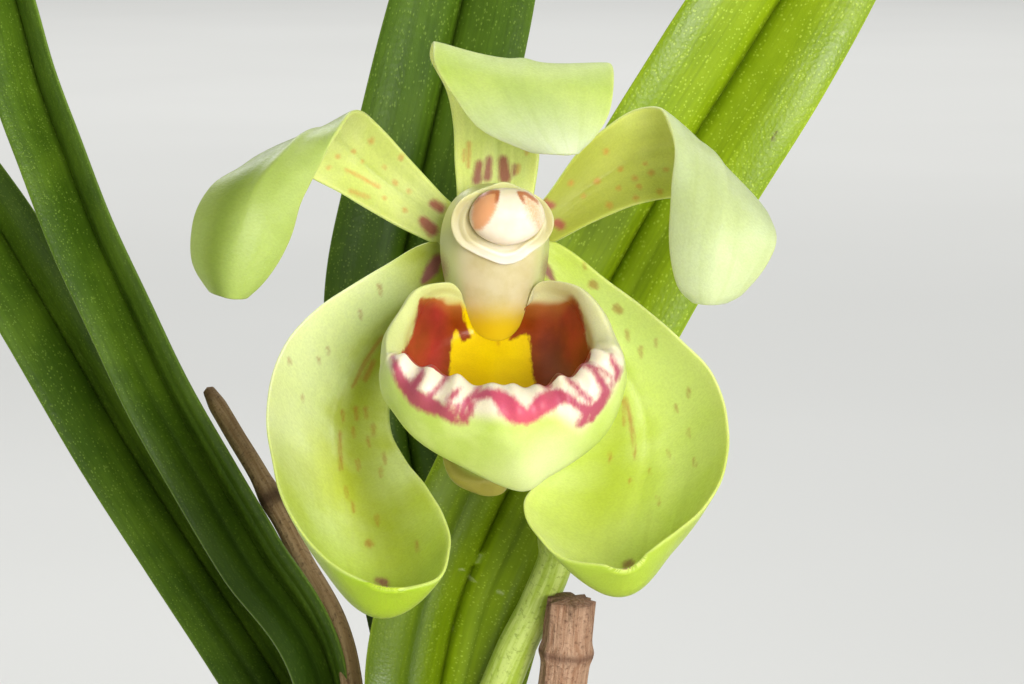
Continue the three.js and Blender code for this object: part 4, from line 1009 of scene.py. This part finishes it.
# The hood's depth, its middle and the hem of its collar, as the picture shows them
HOOD_DEPTH = 9
HOOD_MIDDLE = (504, 222)
HOOD_HEM = [
    (554, 222), (551, 209), (543, 200), (527, 190), (505, 182), (484, 188), (463, 197), (453, 209),
    (451, 222), (452, 236), (463, 248), (485, 259), (505, 265), (524, 260), (538, 247), (553, 236),
]
# The hood's thin collar, out over its hem and in to the cap: share of its reach, and height in z
HOOD_RINGS = [
    (0.91, 9.2), (0.975, 9.55), (1.0, 9.78), (0.985, 9.92), (0.93, 9.86), (0.86, 9.72), (0.8, 9.74),
    (0.74, 9.72), (0.66, 9.4), (0.5, 9.1), (0.2, 9.0),
]
CAP_CENTRE = (0.62, 0.9, 10.0)
CAP_RADII = (3.2, 2.42, 2.1)
CAP_GRID = (96, 64)


def hood_reach(count=16):
    """How far the hem lies from the hood's middle, in that many directions from the right by the top."""
    hem = np.array(HOOD_HEM, float) - HOOD_MIDDLE
    found = []
    for turn in np.arange(count) * TURN / count:
        way = np.array([math.cos(turn), -math.sin(turn)])
        best = 0
        for a, b in zip(hem, np.roll(hem, -1, axis=0)):
            side = b - a
            cross = way[0] * side[1] - way[1] * side[0]
            far = (a[0] * side[1] - a[1] * side[0]) / cross
            share = (a[0] * way[1] - a[1] * way[0]) / cross
            if far > 0 and -1e-9 <= share <= 1 + 1e-9:
                best = max(best, far)
        found.append(round(best * PIXEL * (EYE[2] - HOOD_DEPTH), 2))
    return found


def column_skin(s, t):
    turn = TURN * s
    blunt = COLUMN_BLUNT + (1.04 - COLUMN_BLUNT) * smooth(0.1, -0.5, np.sin(turn))
    across = np.sign(np.cos(turn)) * np.abs(np.cos(turn)) ** blunt
    stack = []
    for x, y, z, rx, ry, taper in COLUMN_SLICES:
        wide = rx * (1 + taper * np.sin(turn))
        stack.append(np.stack([x + wide * across, y + ry * np.sin(turn), z + 0 * turn], -1))
    middle_x, middle_y, _ = read([(*HOOD_MIDDLE, HOOD_DEPTH)], 2)[0]
    reach = along([(r, 0, 0) for r in hood_reach()], s, closed=True)[:, 0]
    below = smooth(0.2, -0.9, np.sin(turn))
    for share, z in HOOD_RINGS:
        wide = reach * share
        # The lower lip of the collar droops and waves
        height = z + smooth(0.8, 1.0, share) * (0.07 * np.cos(7 * turn) - 0.5 * below)
        stack.append(np.stack([middle_x + wide * np.cos(turn), middle_y + wide * np.sin(turn), height], -1))
    points = along(np.stack(stack), t)
    at = seen(points)
    body = t < 7.5 / (len(stack) - 1)
    purple = np.maximum(bump(at[:, 0], -5.3, 0.8), bump(at[:, 0], 4.3, 0.7)) * bump(at[:, 1], -3.6, 1.5)
    # The greenish flanks and top: partly green tissue showing through, partly painted shade where the column
    # turns away
    edges = np.maximum(smooth(2.2, 4.8, np.abs(at[:, 0] + 0.2)), smooth(1.5, 3.0, at[:, 1]))
    fields = {
        "spread": points,
        "yellow": smooth(-4.8, -9.2, at[:, 1]) * body,
        # Painted shade over the thin collar
        "thin": (1 - body) * smooth(-2.2, 0.0, at[:, 1]) * smooth(3.4, 2.2, at[:, 1]),
        "milk": (1 - body) * below * smooth(0.0, -2.6, at[:, 1]),
        "green": edges * np.where(body, 1, 0.7),
        "bruise": purple * body,
        "orange": 0 * s,
        "rust": 0 * s,
    }
    return placed(points), fields


column_finish = column_wax("milky column tissue", "#D0C492", "#DCD2AA")
finished("column_hood", wrapped(*COLUMN_GRID, column_skin), column_finish, ["column"])


def cap_skin(s, t):
    turn, lift = TURN * s, math.pi * t
    ball = np.stack([np.sin(lift) * np.cos(turn), np.sin(lift) * np.sin(turn), -np.cos(lift)], -1)
    # Two pollen cells swell either side of a low ridge, over a blunt beak at the bottom
    cells = bump(ball[:, 0], -0.55, 0.35) + bump(ball[:, 0], 0.55, 0.35)
    swell = 0.07 * cells * smooth(-0.7, 0.2, ball[:, 1])
    beak = 0.08 * bump(ball[:, 0], 0, 0.4) * smooth(-0.2, -1, ball[:, 1])
    ball = ball * (1 + (swell + beak) * smooth(-0.2, 0.4, ball[:, 2]))[:, None]
    points = np.array(CAP_CENTRE) + ball * CAP_RADII
    at = seen(points)
    front = smooth(-0.3, 0.0, ball[:, 2])
    left, right = (patch(at, outline) for outline in drawn(CAP_PATCHES, CAP_CROP))
    cell = np.maximum(smooth(-0.45, 0.6, left), 0.6 * smooth(-0.7, 0.7, right)) * front
    top = np.maximum(bump(left, 0.1, 0.22), bump(right, 0.1, 0.2)) * smooth(1.6, 3.0, at[:, 1]) * front
    bare = dict.fromkeys(("thin", "yellow", "milk", "green", "bruise"), 0 * s)
    return placed(points), {"spread": points, "orange": cell, "rust": top, **bare}


cap_finish = column_wax("creamy anther cap", "#EADCC2", "#F2E6D0")
finished("pollen_cap", wrapped(*CAP_GRID, cap_skin), cap_finish, ["anther_cap"])


# Leaves

LEAF_WIDTH = 15.2
LEAF_THICKNESS = 1.25
LEAF_GRID = (200, 48)
# Folds along a leaf: place across it from -1 to 1, depth, half width and how far up they fade out
LEAF_FOLDS = ((0.0, 1.0, 0.1, 1.2), (0.3, 0.42, 0.1, 0.8), (-0.46, 0.36, 0.11, 0.62), (0.63, 0.32, 0.1, 0.55))
# Scars on the front leaf, as the eye in front of the flower sees them
LEAF_SCARS = [
    [(-3.9, -29.6, 0.3), (-2.6, -30.5, 0.5), (-1.6, -31.2, 0.3)], [(0.1, -31.8, 0.5), (0.6, -32.1, 0.3)],
    [(-3.9, -35.1, 0.6)], [(22.3, 6.3, 0.25), (23.1, 5.9, 0.3)], [(29.6, 17.0, 0.3), (30.3, 17.4, 0.4)],
]
LEAF_RUST = [[(24.3, 9.6, 0.12), (24.2, 8.3, 0.5), (23.6, 7.0, 0.12)]]
# Each leaf: the path of its middle line, the way its upper face looks at its foot and at its tip,
# its share of the full width and how far each half folds up, in degrees. The picture shows the first
# four, so most of their paths is read off it.
LEAVES = [
    ([(1.5, -2.6, 101), (-0.6, -3.6, 112),
      *read_behind([
          (430, 760, -26), (440, 684, -26), (460, 600, -25), (492, 525, -24.5), (523, 460, -24),
          (548, 400, -23), (600, 300, -22), (668, 180, -21), (725, 90, -20), (780, 0, -20),
          (850, -110, -22), (930, -209, -28), (1000, -280, -36),
      ])],
     [(0.1, -1, 0), (0.1, -1, 0.15)], 1.1, 20),
    ([(0.6, 2.8, 106), (0.8, 8.6, 118), (0.4, 16, 131), (-1.5, 20.4, 141), (-3.6, 24.2, 152),
      (-4.4, 27.7, 163.5),
      *read_behind([(420, 180, -52), (462, 0, -56), (490, -120, -60), (530, -200, -66)])],
     [(0, -1, 0.3), (0.1, -1, 0.2)], 1.04, 20),
    ([(-3.6, 1.4, 102), (-7, 4.6, 114),
      *read_behind([
          (330, 660, -40), (267, 560, -46), (220, 480, -48), (175, 400, -49), (137, 320, -50),
          (100, 240, -51), (70, 160, -52), (43, 87, -53), (20, 0, -54), (-10, -90, -56),
          (-50, -170, -60),
      ])],
     [(-0.3, -1, 0.3), (-0.3, -1, 0.2)], 0.86, 57),
    ([(-3.8, 2.2, 97.5), (-8, 14, 110),
      *read_behind([
          (310, 735, -54), (261, 652, -58), (200, 560, -62), (130, 450, -65), (60, 330, -67),
          (0, 230, -69), (-60, 140, -72), (-129.9, 49.4, -78),
      ])],
     [(-0.2, -1, 0.5), (-0.2, -1, 0.3)], 0.92, 46),
    ([(4.6, 0, 93), (20, -5, 108), (40, -11, 116), (60, -17, 115), (78, -22, 106), (90, -25, 95)],
     [(-0.6, -0.1, 1), (0.5, -0.3, 1)], 1, 20),
    ([(-4.4, -1.6, 90.5), (-20, -11, 101), (-39, -22, 107), (-56, -32, 105), (-70, -40, 96), (-80, -45, 84)],
     [(0.6, -0.1, 1), (-0.5, -0.3, 1)], 0.98, 22),
    ([(4.6, 1, 87), (21, 8, 98), (41, 17, 103), (60, 26, 99), (75, 32, 89), (84, 36, 77)],
     [(-0.5, 0.1, 1), (0.6, 0.2, 1)], 0.96, 20),
    ([(-4.6, 1.4, 85), (-21, 10, 94.5), (-42, 20, 100), (-61, 29, 96), (-76, 36, 86), (-85, 40, 75)],
     [(0.5, 0.1, 1), (-0.6, 0.2, 1)], 0.95, 24),
    ([(4.6, -1.5, 81.5), (18, -11, 91), (35, -22, 95), (50, -32, 92), (62, -39, 83), (69, -43, 72)],
     [(-0.4, -0.2, 1), (0.6, -0.5, 1)], 0.9, 18),
    ([(1.4, 4, 98), (7, 19, 110.5), (13, 35, 117), (19, 50, 115), (25, 63, 107), (28, 72, 96)],
     [(0, -0.6, 1), (0.1, 0.6, 1)], 0.9, 22),
]


def leaf(number, finish):
    path, faces, share, fold = LEAVES[number - 1]
    faces = np.array(faces, float)
    length = np.linalg.norm(np.diff(np.array(path, float), axis=0), axis=1).sum()
    nominal = 12 * len(path)

    def surface(u, v):
        rounding = 4.2 * np.abs(v) ** 3
        notch = 2.6 * np.exp(-((v - 0.06) ** 2) / 0.03)
        cut = rounding + notch + 1.8 * smooth(0, 0.25, v)
        w = np.clip(0.99 * u - cut / nominal * smooth(0.75, 1, u), 0, 1)
        here = along(path, w)
        forward = unit(along(path, np.minimum(w + 0.004, 1)) - along(path, np.maximum(w - 0.004, 0)))
        face = faces[0] + (faces[1] - faces[0]) * w[:, None]
        face = unit(face - forward * (face * forward).sum(-1, keepdims=True))
        right = np.cross(forward, face)
        half = 0.5 * LEAF_WIDTH * share * (0.72 + 0.28 * smooth(0, 0.28, w)) * (1 - 0.28 * smooth(0.72, 1, w))
        tilt = np.radians(fold + max(12, 46 - fold) * (1 - smooth(0, 0.25, w)))
        spread = np.sqrt(v * v + 0.004) - 0.063
        crown = 0.9 * (1 - (2 * np.abs(v) - 1) ** 2) * smooth(0.05, 0.2, w)
        folds = sum(
            deep * bump(v, place, wide) * (1 - 0.85 * smooth(fade - 0.25, fade, w))
            for place, deep, wide, fade in LEAF_FOLDS
        )
        out = v * half * np.cos(tilt)
        lift = spread * half * np.sin(tilt) + crown - folds * smooth(0.05, 0.2, w)
        return here + right * out[:, None] + face * lift[:, None]

    def thickness(u, v):
        return LEAF_THICKNESS * (1 - 0.42 * v * v) * (1 - 0.15 * u)

    def marks(u, v, side, middle):
        # Painted shade along the folds, and over the foot, deepest on its left half
        groove = sum(
            min(1, deep) * bump(v, place, 0.6 * wide) * (1 - smooth(fade - 0.25, fade, u))
            for place, deep, wide, fade in LEAF_FOLDS
        )
        groove = groove + (0.15 + 0.6 * smooth(0.1, -0.5, v)) * smooth(0.5, 0.2, u)
        at = seen(in_flower(middle))
        front = np.where((side > 0) & (number == 1), 0, -9)
        return {
            "groove": np.clip(groove, 0, 0.9) * (side > 0),
            "margin": 0.35 * smooth(0.97, 1.0, np.abs(v)),
            "flaws": streaks(at, LEAF_SCARS) + front,
            "rust": streaks(at, LEAF_RUST) + front,
        }

    bm = blade(*LEAF_GRID, surface, thickness, length, LEAF_WIDTH * share, None, marks)
    finished(f"strap_leaf_{number}", bm, finish, [f"leaf_{number}"])


# Leaves 2 to 4 take a darker copy of the leaf skin as painted shade
lit_leaf = leaf_skin("satin leaf", "#7C9606", "#3E5404", "#8CA40E", "#AEC440", 0.7)
shaded_leaf = leaf_skin("satin leaf in painted shade", "#456212", "#223608", "#5C7A18", "#88A440", 0.5)
for number in range(1, 11):
    leaf(number, shaded_leaf if number in (2, 3, 4) else lit_leaf)


# Stalks, stem and roots

STALK_RADIUS = 1.9
STUB_RADIUS = 2.35
ROOT_RADIUS = 1.8
STALK_GRID = (40, 180)
STUB_GRID = (72, 160)
THIN_BAR_GRID = (32, 120)
STUB_FRAYS = 24
# The two stalks behind the flower run in its frame and the old one in the plant's. Their lower ends
# are hidden or outside the picture.
STALK_PATH = [
    (-3.4, -67, -23), (-3.2, -58, -24.5), (-2.4, -49, -23.5), (0.9, -39.5, -20.5),
    *read([(540, 600, -18), (560, 540, -16), (565, 450, -15), (536, 330, -13), (512, 262, -9)]),
    (0.1, -0.8, -5), (-0.3, -0.8, -2.9),
]
STUB_PATH = [
    (0.5, -66, -24), (2.6, -55, -21), (4.6, -47, -18), (5.8, -40.5, -15.6), *read([(570, 598, -14)]),
]
SPIKE_PATH = [
    (-3.4, -1.4, 103), (-6.6, 0.2, 116),
    *read_behind([(345, 650, -36), (300, 555, -42), (262, 480, -44), (235, 436, -45), (207, 387, -46)]),
]
ROOTS = [
    [(2, -3.4, 79), (8, -9, 79.5), (13, -15, 75.5), (15, -19, 68), (15, -20, 58)],
    [(-3.4, -1.6, 80), (-10, -8, 79), (-15, -15, 75), (-17, -19, 67), (-17, -20, 58)],
    [(0, 3, 83), (3, 11, 82), (5, 19, 76), (5, 23, 68), (5, 24, 58)],
    [(4.6, 1, 79), (17, 5, 83), (32, 10, 86), (45, 14, 84.5), (52, 16.5, 76), (52, 17.5, 62), (50, 18, 50)],
    [(-2, 3.2, 79), (-9, 9, 80), (-17, 13, 77), (-21, 15, 68), (-21, 15, 58)],
    [(-4, -2.4, 85), (-13, -9, 89), (-24, -15, 89.5), (-35, -22, 88), (-43, -27, 84.4), (-48.4, -30.4, 75),
     (-48.4, -31, 62)],
]


def stalk():
    def bract(u, at):
        return 0.45 * smooth(at - 0.03, at, u) * (1 - smooth(at, at + 0.012, u))

    def radius(u):
        ovary = 0.5 * smooth(0.8, 0.93, u) + 0.5 * smooth(0.95, 1, u)
        ends = np.sqrt(np.clip(np.minimum(u, 1 - u) / 0.01, 0, 1))
        plain = STALK_RADIUS * (1.1 - 0.22 * smooth(0, 0.5, u))
        return (plain + ovary + bract(u, 0.22) + bract(u, 0.5)) * ends

    def ribs(u, turn):
        return 1 + 0.07 * smooth(0.55, 0.8, u) * np.cos(3 * turn)

    def marks(u, turn):
        return {"stain": 0.35 * (bump(u, 0.22, 0.01) + bump(u, 0.5, 0.01))}

    bm = rod(*STALK_GRID, placed(STALK_PATH), radius, ribs, marks)
    skin = plain_bar("satin green stalk", "#A6BC42", "#7A9028", "#C6D676", 0.42, 0.5, 0.3, 0.15)
    finished("green_stalk", bm, skin, ["flower_stalk"])


def stub():
    random = np.random.default_rng(5)
    frays = 0.7 + 0.45 * random.random(STUB_FRAYS)
    frays = np.append(frays, frays[0])

    def radius(u):
        swell = 0.3 * np.exp(-((u - 0.83) ** 2) / 0.0006)
        ends = np.sqrt(np.clip(np.minimum(u, 1 - u) / 0.004, 0, 1))
        return (STUB_RADIUS * (0.85 + 0.15 * u) + swell) * ends

    def shape(u, turn):
        fray = np.interp(turn / TURN * STUB_FRAYS, np.arange(STUB_FRAYS + 1), frays)
        return 1 + (fray - 1) * (0.2 + 0.8 * smooth(0.9, 1, u)) + 0.02 * np.sin(9 * turn + 8 * u)

    def marks(u, turn):
        return {"stain": 0.7 * bump(u, 0.83, 0.012) + 0.4 * smooth(0.97, 1, u)}

    bm = rod(*STUB_GRID, placed(STUB_PATH), radius, shape, marks)
    skin = plain_bar("dry stalk fibre", "#9E765A", "#5C3C2C", "#BE9A7E", 0.85, 0.3, 0.0, 0.8)
    finished("dry_stub", bm, skin, ["old_spike_stub"])


def old_spike():
    def radius(u):
        ends = np.sqrt(np.clip(np.minimum(u, 1 - u) / 0.01, 0, 1))
        swell = 0.25 * np.exp(-((u - 0.62) ** 2) / 0.0012)
        return (1.15 - 0.25 * u + swell - 0.3 * smooth(0.93, 1, u)) * ends

    def marks(u, turn):
        return {"stain": 0.9 * bump(u, 0.62, 0.02) + 0.5 * smooth(0.9, 1, u)}

    bm = rod(*THIN_BAR_GRID, SPIKE_PATH, radius, None, marks)
    skin = plain_bar("half dry stalk", "#9A7A52", "#4E3826", "#B89A70", 0.8, 0.35, 0.0, 0.6)
    finished("dry_spike", bm, skin, ["old_spike_left"])


stalk()
stub()
old_spike()

root_skin = plain_bar("silvery root skin", "#BDC0A8", "#8C9478", "#DADCCB", 0.7, 0.6, 0.1, 0.35)
for number, path in enumerate(ROOTS, 1):

    def root_radius(u):
        blunt = 1 - 0.55 * np.maximum(0, (u - 0.94) / 0.06) ** 2
        ends = np.sqrt(np.clip(np.minimum(u, 1 - u) / 0.02, 0, 1))
        return ROOT_RADIUS * (1 - 0.12 * u) * blunt * ends

    def knobs(u, turn, seed=number):
        place = np.stack([np.cos(turn), np.sin(turn), 14 * u], -1)
        return 1 + 0.05 * ripple(place, 1.6, seed)

    def root_marks(u, turn):
        return {"stain": 0.2 * smooth(0.5, 1, u)}

    bm = rod(*THIN_BAR_GRID, path, root_radius, knobs, root_marks)
    finished(f"aerial_root_{number}", bm, root_skin, [f"root_{number}"])

STEM_BOTTOM = 60
STEM_TOP = 109
STEM_RADIUS_X = 5.6
STEM_RADIUS_Y = 4.1
STEM_NODE_SPACING = 5.5
STEM_GRID = (64, 140)


def stem_skin(s, t):
    turn = TURN * s
    z = STEM_BOTTOM + (STEM_TOP - STEM_BOTTOM) * t
    swell = np.interp(z, [STEM_BOTTOM, STEM_BOTTOM + 12, STEM_BOTTOM + 17], [0.8, 0.86, 0.92])
    stain = 0 * z
    side, node = 1, STEM_BOTTOM + 18
    while node < STEM_TOP - 4:
        edge = node + 1.4 * side * np.cos(turn)
        above = z - edge
        step = smooth(-STEM_NODE_SPACING, 0, above) * (1 - smooth(0, 0.5, above))
        swell = np.maximum(swell, 0.94 + 0.18 * step)
        stain = np.maximum(stain, 0.8 * bump(above, 0.1, 0.35))
        side, node = -side, node + STEM_NODE_SPACING
    swell = swell * np.interp(z, [STEM_TOP - 6, STEM_TOP - 2, STEM_TOP], [1, 0.85, 0.45])
    points = np.stack([STEM_RADIUS_X * swell * np.cos(turn), STEM_RADIUS_Y * swell * np.sin(turn), z], -1)
    return points, {"spread": points, "share": t, "stain": stain}


stem_finish = plain_bar("papery leaf sheath", "#94A24C", "#8A7448", "#B4BE72", 0.6, 0.5, 0.1, 0.3)
finished("sheathed_stem", wrapped(*STEM_GRID, stem_skin), stem_finish, ["stem"])


# Pot and bark

POT_HEIGHT = 80
POT_FOOT_RADIUS = 31
POT_TOP_RADIUS = 43
POT_WALL = 4.5
POT_RIM_RADIUS = 46.5
POT_RIM_HEIGHT = 13
POT_FLOOR = 6
POT_SIDES = 144
DRAIN_HOLES = 4
DRAIN_HOLE_RADIUS = 3.6
DRAIN_HOLE_RING = 17
BARK_TOP = 70
BARK_CHIPS = 90
CHIP_SIZES = (7, 15)
CHIPS_END = 77.2  # no chip stands higher than this
GOLDEN_TURN = 2.39996


def pot_inside(z):
    return POT_FOOT_RADIUS - POT_WALL + (POT_TOP_RADIUS - POT_FOOT_RADIUS) * z / POT_HEIGHT


def turned(profile, steps):
    """A profile of (radius, height) spun once round the Z axis."""
    bm = bmesh.new()
    verts = [bm.verts.new((r * MM, 0, z * MM)) for r, z in profile]
    edges = [bm.edges.new(pair) for pair in zip(verts[:-1], verts[1:])]
    bmesh.ops.spin(
        bm, geom=verts + edges, cent=(0, 0, 0), axis=(0, 0, 1), angle=TURN, steps=steps, use_merge=True,
    )
    bmesh.ops.remove_doubles(bm, verts=bm.verts, dist=1e-6)
    bmesh.ops.recalc_face_normals(bm, faces=bm.faces)
    return bm


def pot():
    rim_foot = POT_HEIGHT - POT_RIM_HEIGHT
    outside = lambda z: pot_inside(z) + POT_WALL
    corners = [
        (0, 0),
        (POT_FOOT_RADIUS - 1.2, 0),
        (POT_FOOT_RADIUS, 1.2),
        (outside(rim_foot - 1.5), rim_foot - 1.5),
        (POT_RIM_RADIUS - 1, rim_foot),
        (POT_RIM_RADIUS, rim_foot + 1.2),
        (POT_RIM_RADIUS + 0.3, POT_HEIGHT - 2.5),
        (POT_RIM_RADIUS - 0.6, POT_HEIGHT - 0.6),
        (POT_RIM_RADIUS - 2, POT_HEIGHT),
        (pot_inside(POT_HEIGHT) + 1, POT_HEIGHT - 0.3),
        (pot_inside(POT_HEIGHT), POT_HEIGHT - 1.6),
        (pot_inside(POT_FLOOR + 3), POT_FLOOR + 3),
        (pot_inside(POT_FLOOR) - 3, POT_FLOOR),
        (0, POT_FLOOR),
    ]
    bm = turned(corners, POT_SIDES)
    shell = bpy.data.meshes.new("pot shell")
    bm.to_mesh(shell)
    bm.free()
    shell_object = bpy.data.objects.new("pot shell", shell)
    bpy.context.scene.collection.objects.link(shell_object)
    cutter = bmesh.new()
    radius, reach = DRAIN_HOLE_RADIUS * MM, DRAIN_HOLE_RING * MM
    for k in range(DRAIN_HOLES):
        turn = (k + 0.5) * TURN / DRAIN_HOLES
        made = bmesh.ops.create_cone(
            cutter, cap_ends=True, segments=32, radius1=radius, radius2=radius, depth=16 * MM
        )
        here = (reach * math.cos(turn), reach * math.sin(turn), 3 * MM)
        bmesh.ops.translate(cutter, verts=made["verts"], vec=here)
    holes = bpy.data.meshes.new("drain holes")
    cutter.to_mesh(holes)
    cutter.free()
    holes_object = bpy.data.objects.new("drain holes", holes)
    bpy.context.scene.collection.objects.link(holes_object)
    drill = shell_object.modifiers.new("drain", "BOOLEAN")
    drill.object, drill.operation, drill.solver = holes_object, "DIFFERENCE", "EXACT"
    depsgraph = bpy.context.evaluated_depsgraph_get()
    bm = bmesh.new()
    bm.from_object(shell_object, depsgraph)
    bpy.data.objects.remove(shell_object)
    bpy.data.objects.remove(holes_object)
    piece = finished("clay_pot", bm, fired_clay(), ["pot"])
    for polygon in piece.data.polygons:
        polygon.use_smooth = True
    piece.data.set_sharp_from_angle(angle=math.radians(50))


def bark():
    random = np.random.default_rng(11)
    edge = lambda z: pot_inside(z) - 0.3
    core = [
        (0, POT_FLOOR + 0.3),
        (edge(POT_FLOOR) - 3.5, POT_FLOOR + 0.3),
        (edge(POT_FLOOR + 3), POT_FLOOR + 3.3),
        (edge(BARK_TOP - 5), BARK_TOP - 5),
        (edge(BARK_TOP - 5) - 4, BARK_TOP - 4),
        (0, BARK_TOP - 4),
    ]
    bm = turned(core, 48)
    spread = bm.verts.layers.float_vector.new("spread")
    chip = bm.verts.layers.float.new("chip")
    for vert in bm.verts:
        vert[spread] = vert.co / MM
    for k in range(BARK_CHIPS):
        turn = k * GOLDEN_TURN + 0.5 * random.random()
        reach = (edge(BARK_TOP) - 6) * math.sqrt((k + 0.5) / BARK_CHIPS)
        size = random.uniform(*CHIP_SIZES)
        made = bmesh.ops.create_cube(bm, size=1)
        edges = list({e for v in made["verts"] for e in v.link_edges})
        bmesh.ops.bevel(
            bm, geom=edges, offset=0.09, affect="EDGES", segments=1, profile=0.5, material=-1
        )
        # The bevel replaces the verts, so the new chip is the one that has no place yet
        verts = [v for v in bm.verts if v[chip] == 0 and v.co.length < 0.9 and v[spread].length == 0]
        edges = list({e for v in verts for e in v.link_edges})
        bmesh.ops.subdivide_edges(bm, edges=edges, cuts=2, use_grid_fill=True)
        verts = [v for v in bm.verts if v.co.length < 0.9 and v[spread].length == 0]
        local = np.array([v.co for v in verts], float)
        scale = np.array([size, size * random.uniform(0.5, 0.85), size * random.uniform(0.28, 0.5)])
        body = local * scale
        body += 0.5 * np.stack([ripple(body, 5, 10 * k + j) for j in range(3)], -1)
        body += 0.16 * np.stack([ripple(body, 1.6, 10 * k + j + 5) for j in range(3)], -1)
        tip, roll, yaw = random.normal(0, 0.3), random.normal(0, 0.3), random.uniform(0, TURN)
        ct, st, cr, sr, cy, sy = (f(a) for a in (tip, roll, yaw) for f in (math.cos, math.sin))
        about_x = np.array([[1, 0, 0], [0, ct, -st], [0, st, ct]])
        about_y = np.array([[cr, 0, sr], [0, 1, 0], [-sr, 0, cr]])
        about_z = np.array([[cy, -sy, 0], [sy, cy, 0], [0, 0, 1]])
        height = BARK_TOP - 1.8 + random.uniform(-1.2, 2.4) - (1.5 if reach > 28 else 0)
        here = np.array([reach * math.cos(turn), reach * math.sin(turn), height])
        points = body @ (about_z @ about_y @ about_x).T + here
        limit = pot_inside(76) - 0.6
        away = np.linalg.norm(points[:, :2], axis=1)
        points[:, :2] *= np.minimum(1, limit / np.maximum(away, 1e-6))[:, None]
        points[:, 2] = np.minimum(points[:, 2], CHIPS_END)
        tone = random.uniform(0, 0.9)
        for v, co, flat in zip(verts, points, body):
            v.co = co * MM
            v[spread] = flat + 40 * k
            v[chip] = tone
    bmesh.ops.recalc_face_normals(bm, faces=bm.faces)
    finished("bark_chips", bm, conifer_bark(), ["bark"])


pot()
bark()


# Floor and light

floor_mesh = bmesh.new()
bmesh.ops.create_grid(floor_mesh, x_segments=4, y_segments=4, size=8)
floor_data = bpy.data.meshes.new("floor")
floor_mesh.to_mesh(floor_data)
floor_mesh.free()
floor = bpy.data.objects.new("floor", floor_data)
bpy.context.scene.collection.objects.link(floor)
floor_finish, n = material("pale matt paper")
grain = noise(n, n("ShaderNodeTexCoord", {}, out=3), 3.0, 2.0)
paper = mixed(n, grain, "#DADAD6", "#E2E2DE")
sheet = n("ShaderNodeBsdfPrincipled", {"Base Color": paper, "Roughness": 0.9})
n("ShaderNodeOutputMaterial", {"Surface": sheet})
floor_data.materials.append(floor_finish)


def softbox(name, place, aim, size, watts):
    light = bpy.data.lights.new(name, "AREA")
    light.shape, light.size, light.energy = "DISK", size, watts
    lamp = bpy.data.objects.new(name, light)
    bpy.context.scene.collection.objects.link(lamp)
    lamp.location = place
    away = np.array(place) - np.array(aim)
    tip = math.atan2(math.hypot(away[0], away[1]), away[2])
    lamp.rotation_euler = (tip, 0, math.atan2(away[0], -away[1]))


flower_place = tuple(placed((0, -8, 6)) * MM)
softbox("key softbox", (0.2, -0.66, 0.28), flower_place, 0.28, 4.6)
softbox("fill softbox", (0.5, -0.35, 0.33), flower_place, 0.3, 0.8)
softbox("rim softbox", (-0.3, 0.65, 0.75), flower_place, 0.4, 2.5)
softbox("far floor softbox", (0, 2.5, 2.0), (0, 2.5, 0), 3.8, 60)

world = bpy.data.worlds.new("studio")
world.use_nodes = True
world.node_tree.nodes["Background"].inputs["Color"].default_value = colour("#E6E8EA")
world.node_tree.nodes["Background"].inputs["Strength"].default_value = 0.33
bpy.context.scene.world = world
bpy.context.scene.view_settings.view_transform = "Standard"
